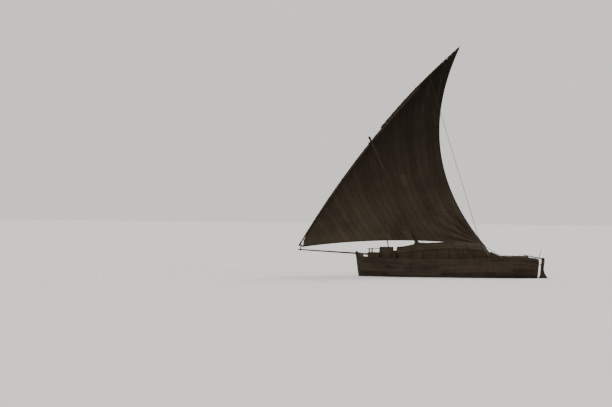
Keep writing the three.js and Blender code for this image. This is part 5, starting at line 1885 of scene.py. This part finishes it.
add_runs("rudder_straps", strap_rings(), IRON, smooth=30, body="rudder_body")
tiller_way = from_stern([1, 0, 1.8]) - from_stern([0, 0, 1.7])
sockets = from_stern([[-0.36, 0, 1.715], [-0.24, 0, 1.715]])
socket_turns = [
    post_band(at, tiller_way, half=(0.07, 0.045), radius=0.034, turns=4, pitch=0.028)
    for at in sockets
]
ropes("tiller_lashing", socket_turns, 0.012, (0, 0.2, 1), body="rudder_body")

# %% Stern staff and cooking box
staff_line = straight((-7.9, 0.52, 1.6254), (-8.16, 0.52, 2.5), 12)
add_spar("stern_staff_pole", staff_line, np.linspace(0.026, 0.018, 12), 12, "stern_staff")
soften("galley_box", TIMBER, 0.012)
slats = [
    straight((-4.37, sign * 0.427, z), (-3.77, sign * 0.427, z))
    for z in np.linspace(1.56, 1.98, 4)
    for sign in SIDES
]
slat_section = squared(half=(0.008, 0.025), chamfer=0.004)
add_runs("galley_battens", carry(slats, slat_section), DECKING)

# %% [markdown]
# ## Lashings, fringe and battens on the cover
#
# Wind would lift the mats, so ropes go over the roof from rail to rail and split poles lie on it. Palm leaf
# frays where it is cut, and that ragged edge tells matting from cloth at a distance. Each is a line laid on
# the roof's own formula, so it follows every sag and lap.


# %% Ropes over the roof
def over_roof(x, points=61, lift=0.012):
    """From one rail up a side, over the roof and down to the other rail."""
    half = cover_half(x)
    y = np.linspace(-1, 1, points) * (half + OVERHANG + 0.02)
    top = np.column_stack([np.full(points, x), y, roof_top(x, y) + lift])
    foot = np.array([x, half_at(x) - 0.07, cap_top(x) + 0.005])
    knee = np.array([x, half + OVERHANG + 0.035, roof_top(x, half) - 0.06])
    mirror = (1, -1, 1)
    return np.concatenate([[foot * mirror, knee * mirror], top, [knee, foot]])


LASHED_X = np.array([-3.1, -2.35, -1.55, -0.75, 0.1, 0.9, 1.62, 3.2, 3.95])
ropes("roof_lashings", [over_roof(x) for x in LASHED_X], 0.010, (1, 0.1, 0.1), stations=90)


# %% Battens
def batten_paths():
    """Split poles along the roof, at some shares of its half-breadth on both sides."""
    x, share = np.meshgrid(np.linspace(-3.4, 4.2, 60), [0.42, -0.42, 0.86, -0.86])
    y = share * cover_half(x)
    return np.stack([x, y, roof_top(x, y) + 0.018], axis=-1)


add_runs("roof_battens", carry(batten_paths(), circle(0.018, 8), (0, 0, 1)), POLE)


# %% Fringe
def fringe_rings(roots, out, count, thin_way):
    """Frayed leaf ends: flat strips that hang from points along an edge, each with its own length and
    lean."""
    place_at = np.linspace(0, len(roots) - 1, count)
    whole = np.arange(len(roots))
    start = np.stack([np.interp(place_at, whole, roots[:, axis]) for axis in range(3)], axis=-1)
    lean = random.normal(0, 0.012, (count, 3)) + np.asarray(out) * 0.02
    drop = random.uniform(0.03, 0.085, count)
    share = np.array([0, 0.5, 1.0])[None, :, None]
    paths = start[:, None] + lean[:, None] * share - (0, 0, 1) * (drop[:, None, None] * share)
    widths = np.array([1.0, 0.8, 0.3])
    return carry(paths, circle(0.01, 4) * (0.2, 1) * widths[:, None, None], thin_way)


eave = roof_points[:, -1] - (0, 0.004, 0.004)
strips = [fringe_rings(eave * (1, sign, 1), (0, sign, 0), 330, (0, 1, 0)) for sign in SIDES]
strips.append(fringe_rings(roof_points[0], (-1, 0, 0), 190, (1, 0, 0)))
add_runs("roof_fringe", np.concatenate(strips), MATTING)

# %% [markdown]
# ## Short mats, low boards and a pole
#
# Short mats close the space between the two covers and shelter the after mouth beside the cooking box. Low
# boards carry the quarter boards' line on to the stern rail, and others rise to the stem. A pole leads from
# under the fore cover to the bitts. All reuse functions from above.

# %% Short mats and low boards
gap_mats = rail_screen(4.42, 4.74, columns=9, height=2.27, slope=-0.06, bulge=0.004)
add_screens("gap_mat", gap_mats, None, pole_step=0.3)
mouth_mats = rail_screen(-3.9, -3.58, columns=9, height=2.122, slope=0.4, bulge=0.004)
add_screens("mouth_mat", mouth_mats, None, pole_step=0.4)
# Columns: name, from, to, thickness, how far sunk into the rail, height of the top at its start, its slope
LOW_BOARDS = [
    ("stern_boards", AFT_END + 0.06, -7.02, 0.03, 0.0, 1.7048, 0.08),
    ("bow_boards", 7.3, 7.86, 0.035, 0.01, 1.98, 0.3),
]
for name, start, end, thick, depth, height, slope in LOW_BOARDS:
    at = np.linspace(start, end, 12)[None]
    inner = np.maximum(half_at(at) - 0.06, 0.09)
    top = height + slope * (at - start)
    rings = lengthwise(at, inner, inner + thick, cap_top(at) - depth, top, chamfer=0.006)
    add_runs(name, both_sides(rings), BOARDS, smooth=30)
ridge_line = straight((4.9, 0.135, 2.43), (6.95, 0.135, 2.42), 30)
add_spar("fore_ridge_pole", ridge_line, np.linspace(0.03, 0.024, 30), 12)
ridge_bands = [
    lashing((x, 0.08, 2.425), (1, 0, 0), [(0.055, 0), (-0.02, 0)], [0.038, 0.04], turns=4, pitch=0.022)
    for x in (6.56, 6.8)
]
ropes("ridge_pole_lashings", ridge_bands, 0.009, (0, 0.2, 1))

# %% [markdown]
# ## Floor and light
#
# The floor is pale and lies at the waterline. It has a hole of the hull's shape there, so that no floor
# shows inside the boat, and the hull's lower part goes down through it. The lamps are suns with wide discs.
# A sun lights the floor as brightly far off as near, where an area lamp would leave it dark at its far
# edge.


# %% Studio
def add_floor(reach=6000.0, inset=0.03):
    """A ring from the hull's waterline out to a wide circle, with rows that lie further and further
    apart."""
    at = np.linspace(AFT_END, FORE_END, 80)
    x = along_hull(at, 0.0)
    y = np.maximum(skin_half(at, 0.0) - inset, 0.01)
    inner = np.concatenate([np.stack([x, y], -1), np.stack([x[::-1], -y[::-1]], -1)])
    angle = np.arctan2(inner[:, 1], inner[:, 0])
    outer = np.stack([np.cos(angle), np.sin(angle)], -1) * reach
    share = np.array([0, 0.0002, 0.001, 0.006, 0.04, 0.2, 1.0])[:, None, None]
    rings = inner + (outer - inner) * share
    verts = np.concatenate([rings, np.zeros((*rings.shape[:2], 1))], axis=-1)
    rows, around = verts.shape[:2]
    number = np.arange(rows * around).reshape(rows, around)
    turned = np.roll(number, -1, axis=1)
    quads = np.stack([number[:-1], number[1:], turned[1:], turned[:-1]], axis=-1)
    floor = make_object("floor", verts.reshape(-1, 3), quads.ravel(), np.full(quads.size // 4, 4))
    pale = bpy.data.materials.new("pale_floor")
    pale.use_nodes = True
    shader = pale.node_tree.nodes["Principled BSDF"]
    shader.inputs["Base Color"].default_value = (0.72, 0.71, 0.69, 1)
    shader.inputs["Roughness"].default_value = 0.9
    floor.data.materials.append(pale)


# %% Lamps and world
def add_light(name, towards, spread, strength):
    """A far lamp whose light comes from a direction, spread over some degrees, so its shadows are soft."""
    lamp = bpy.data.lights.new(name, "SUN")
    lamp.angle = math.radians(spread)
    lamp.energy = strength
    made = linked(name, lamp)
    made.location = towards
    made.rotation_euler = Vector(towards).to_track_quat("Z", "Y").to_euler()


def add_world(strength):
    """Pale light from all round."""
    world = bpy.data.worlds.new("studio")
    world.use_nodes = True
    background = world.node_tree.nodes["Background"]
    background.inputs["Color"].default_value = (0.93, 0.91, 0.87, 1)
    background.inputs["Strength"].default_value = strength
    bpy.context.scene.world = world


add_floor()
add_world(strength=1.0)
add_light("key", (78, 130, 114), spread=22, strength=1.35)
add_light("behind", (-72, -150, 114), spread=22, strength=1.15)
add_light("fill", (-122, 90, 54), spread=25, strength=0.5)
print("floor, world and three lamps")
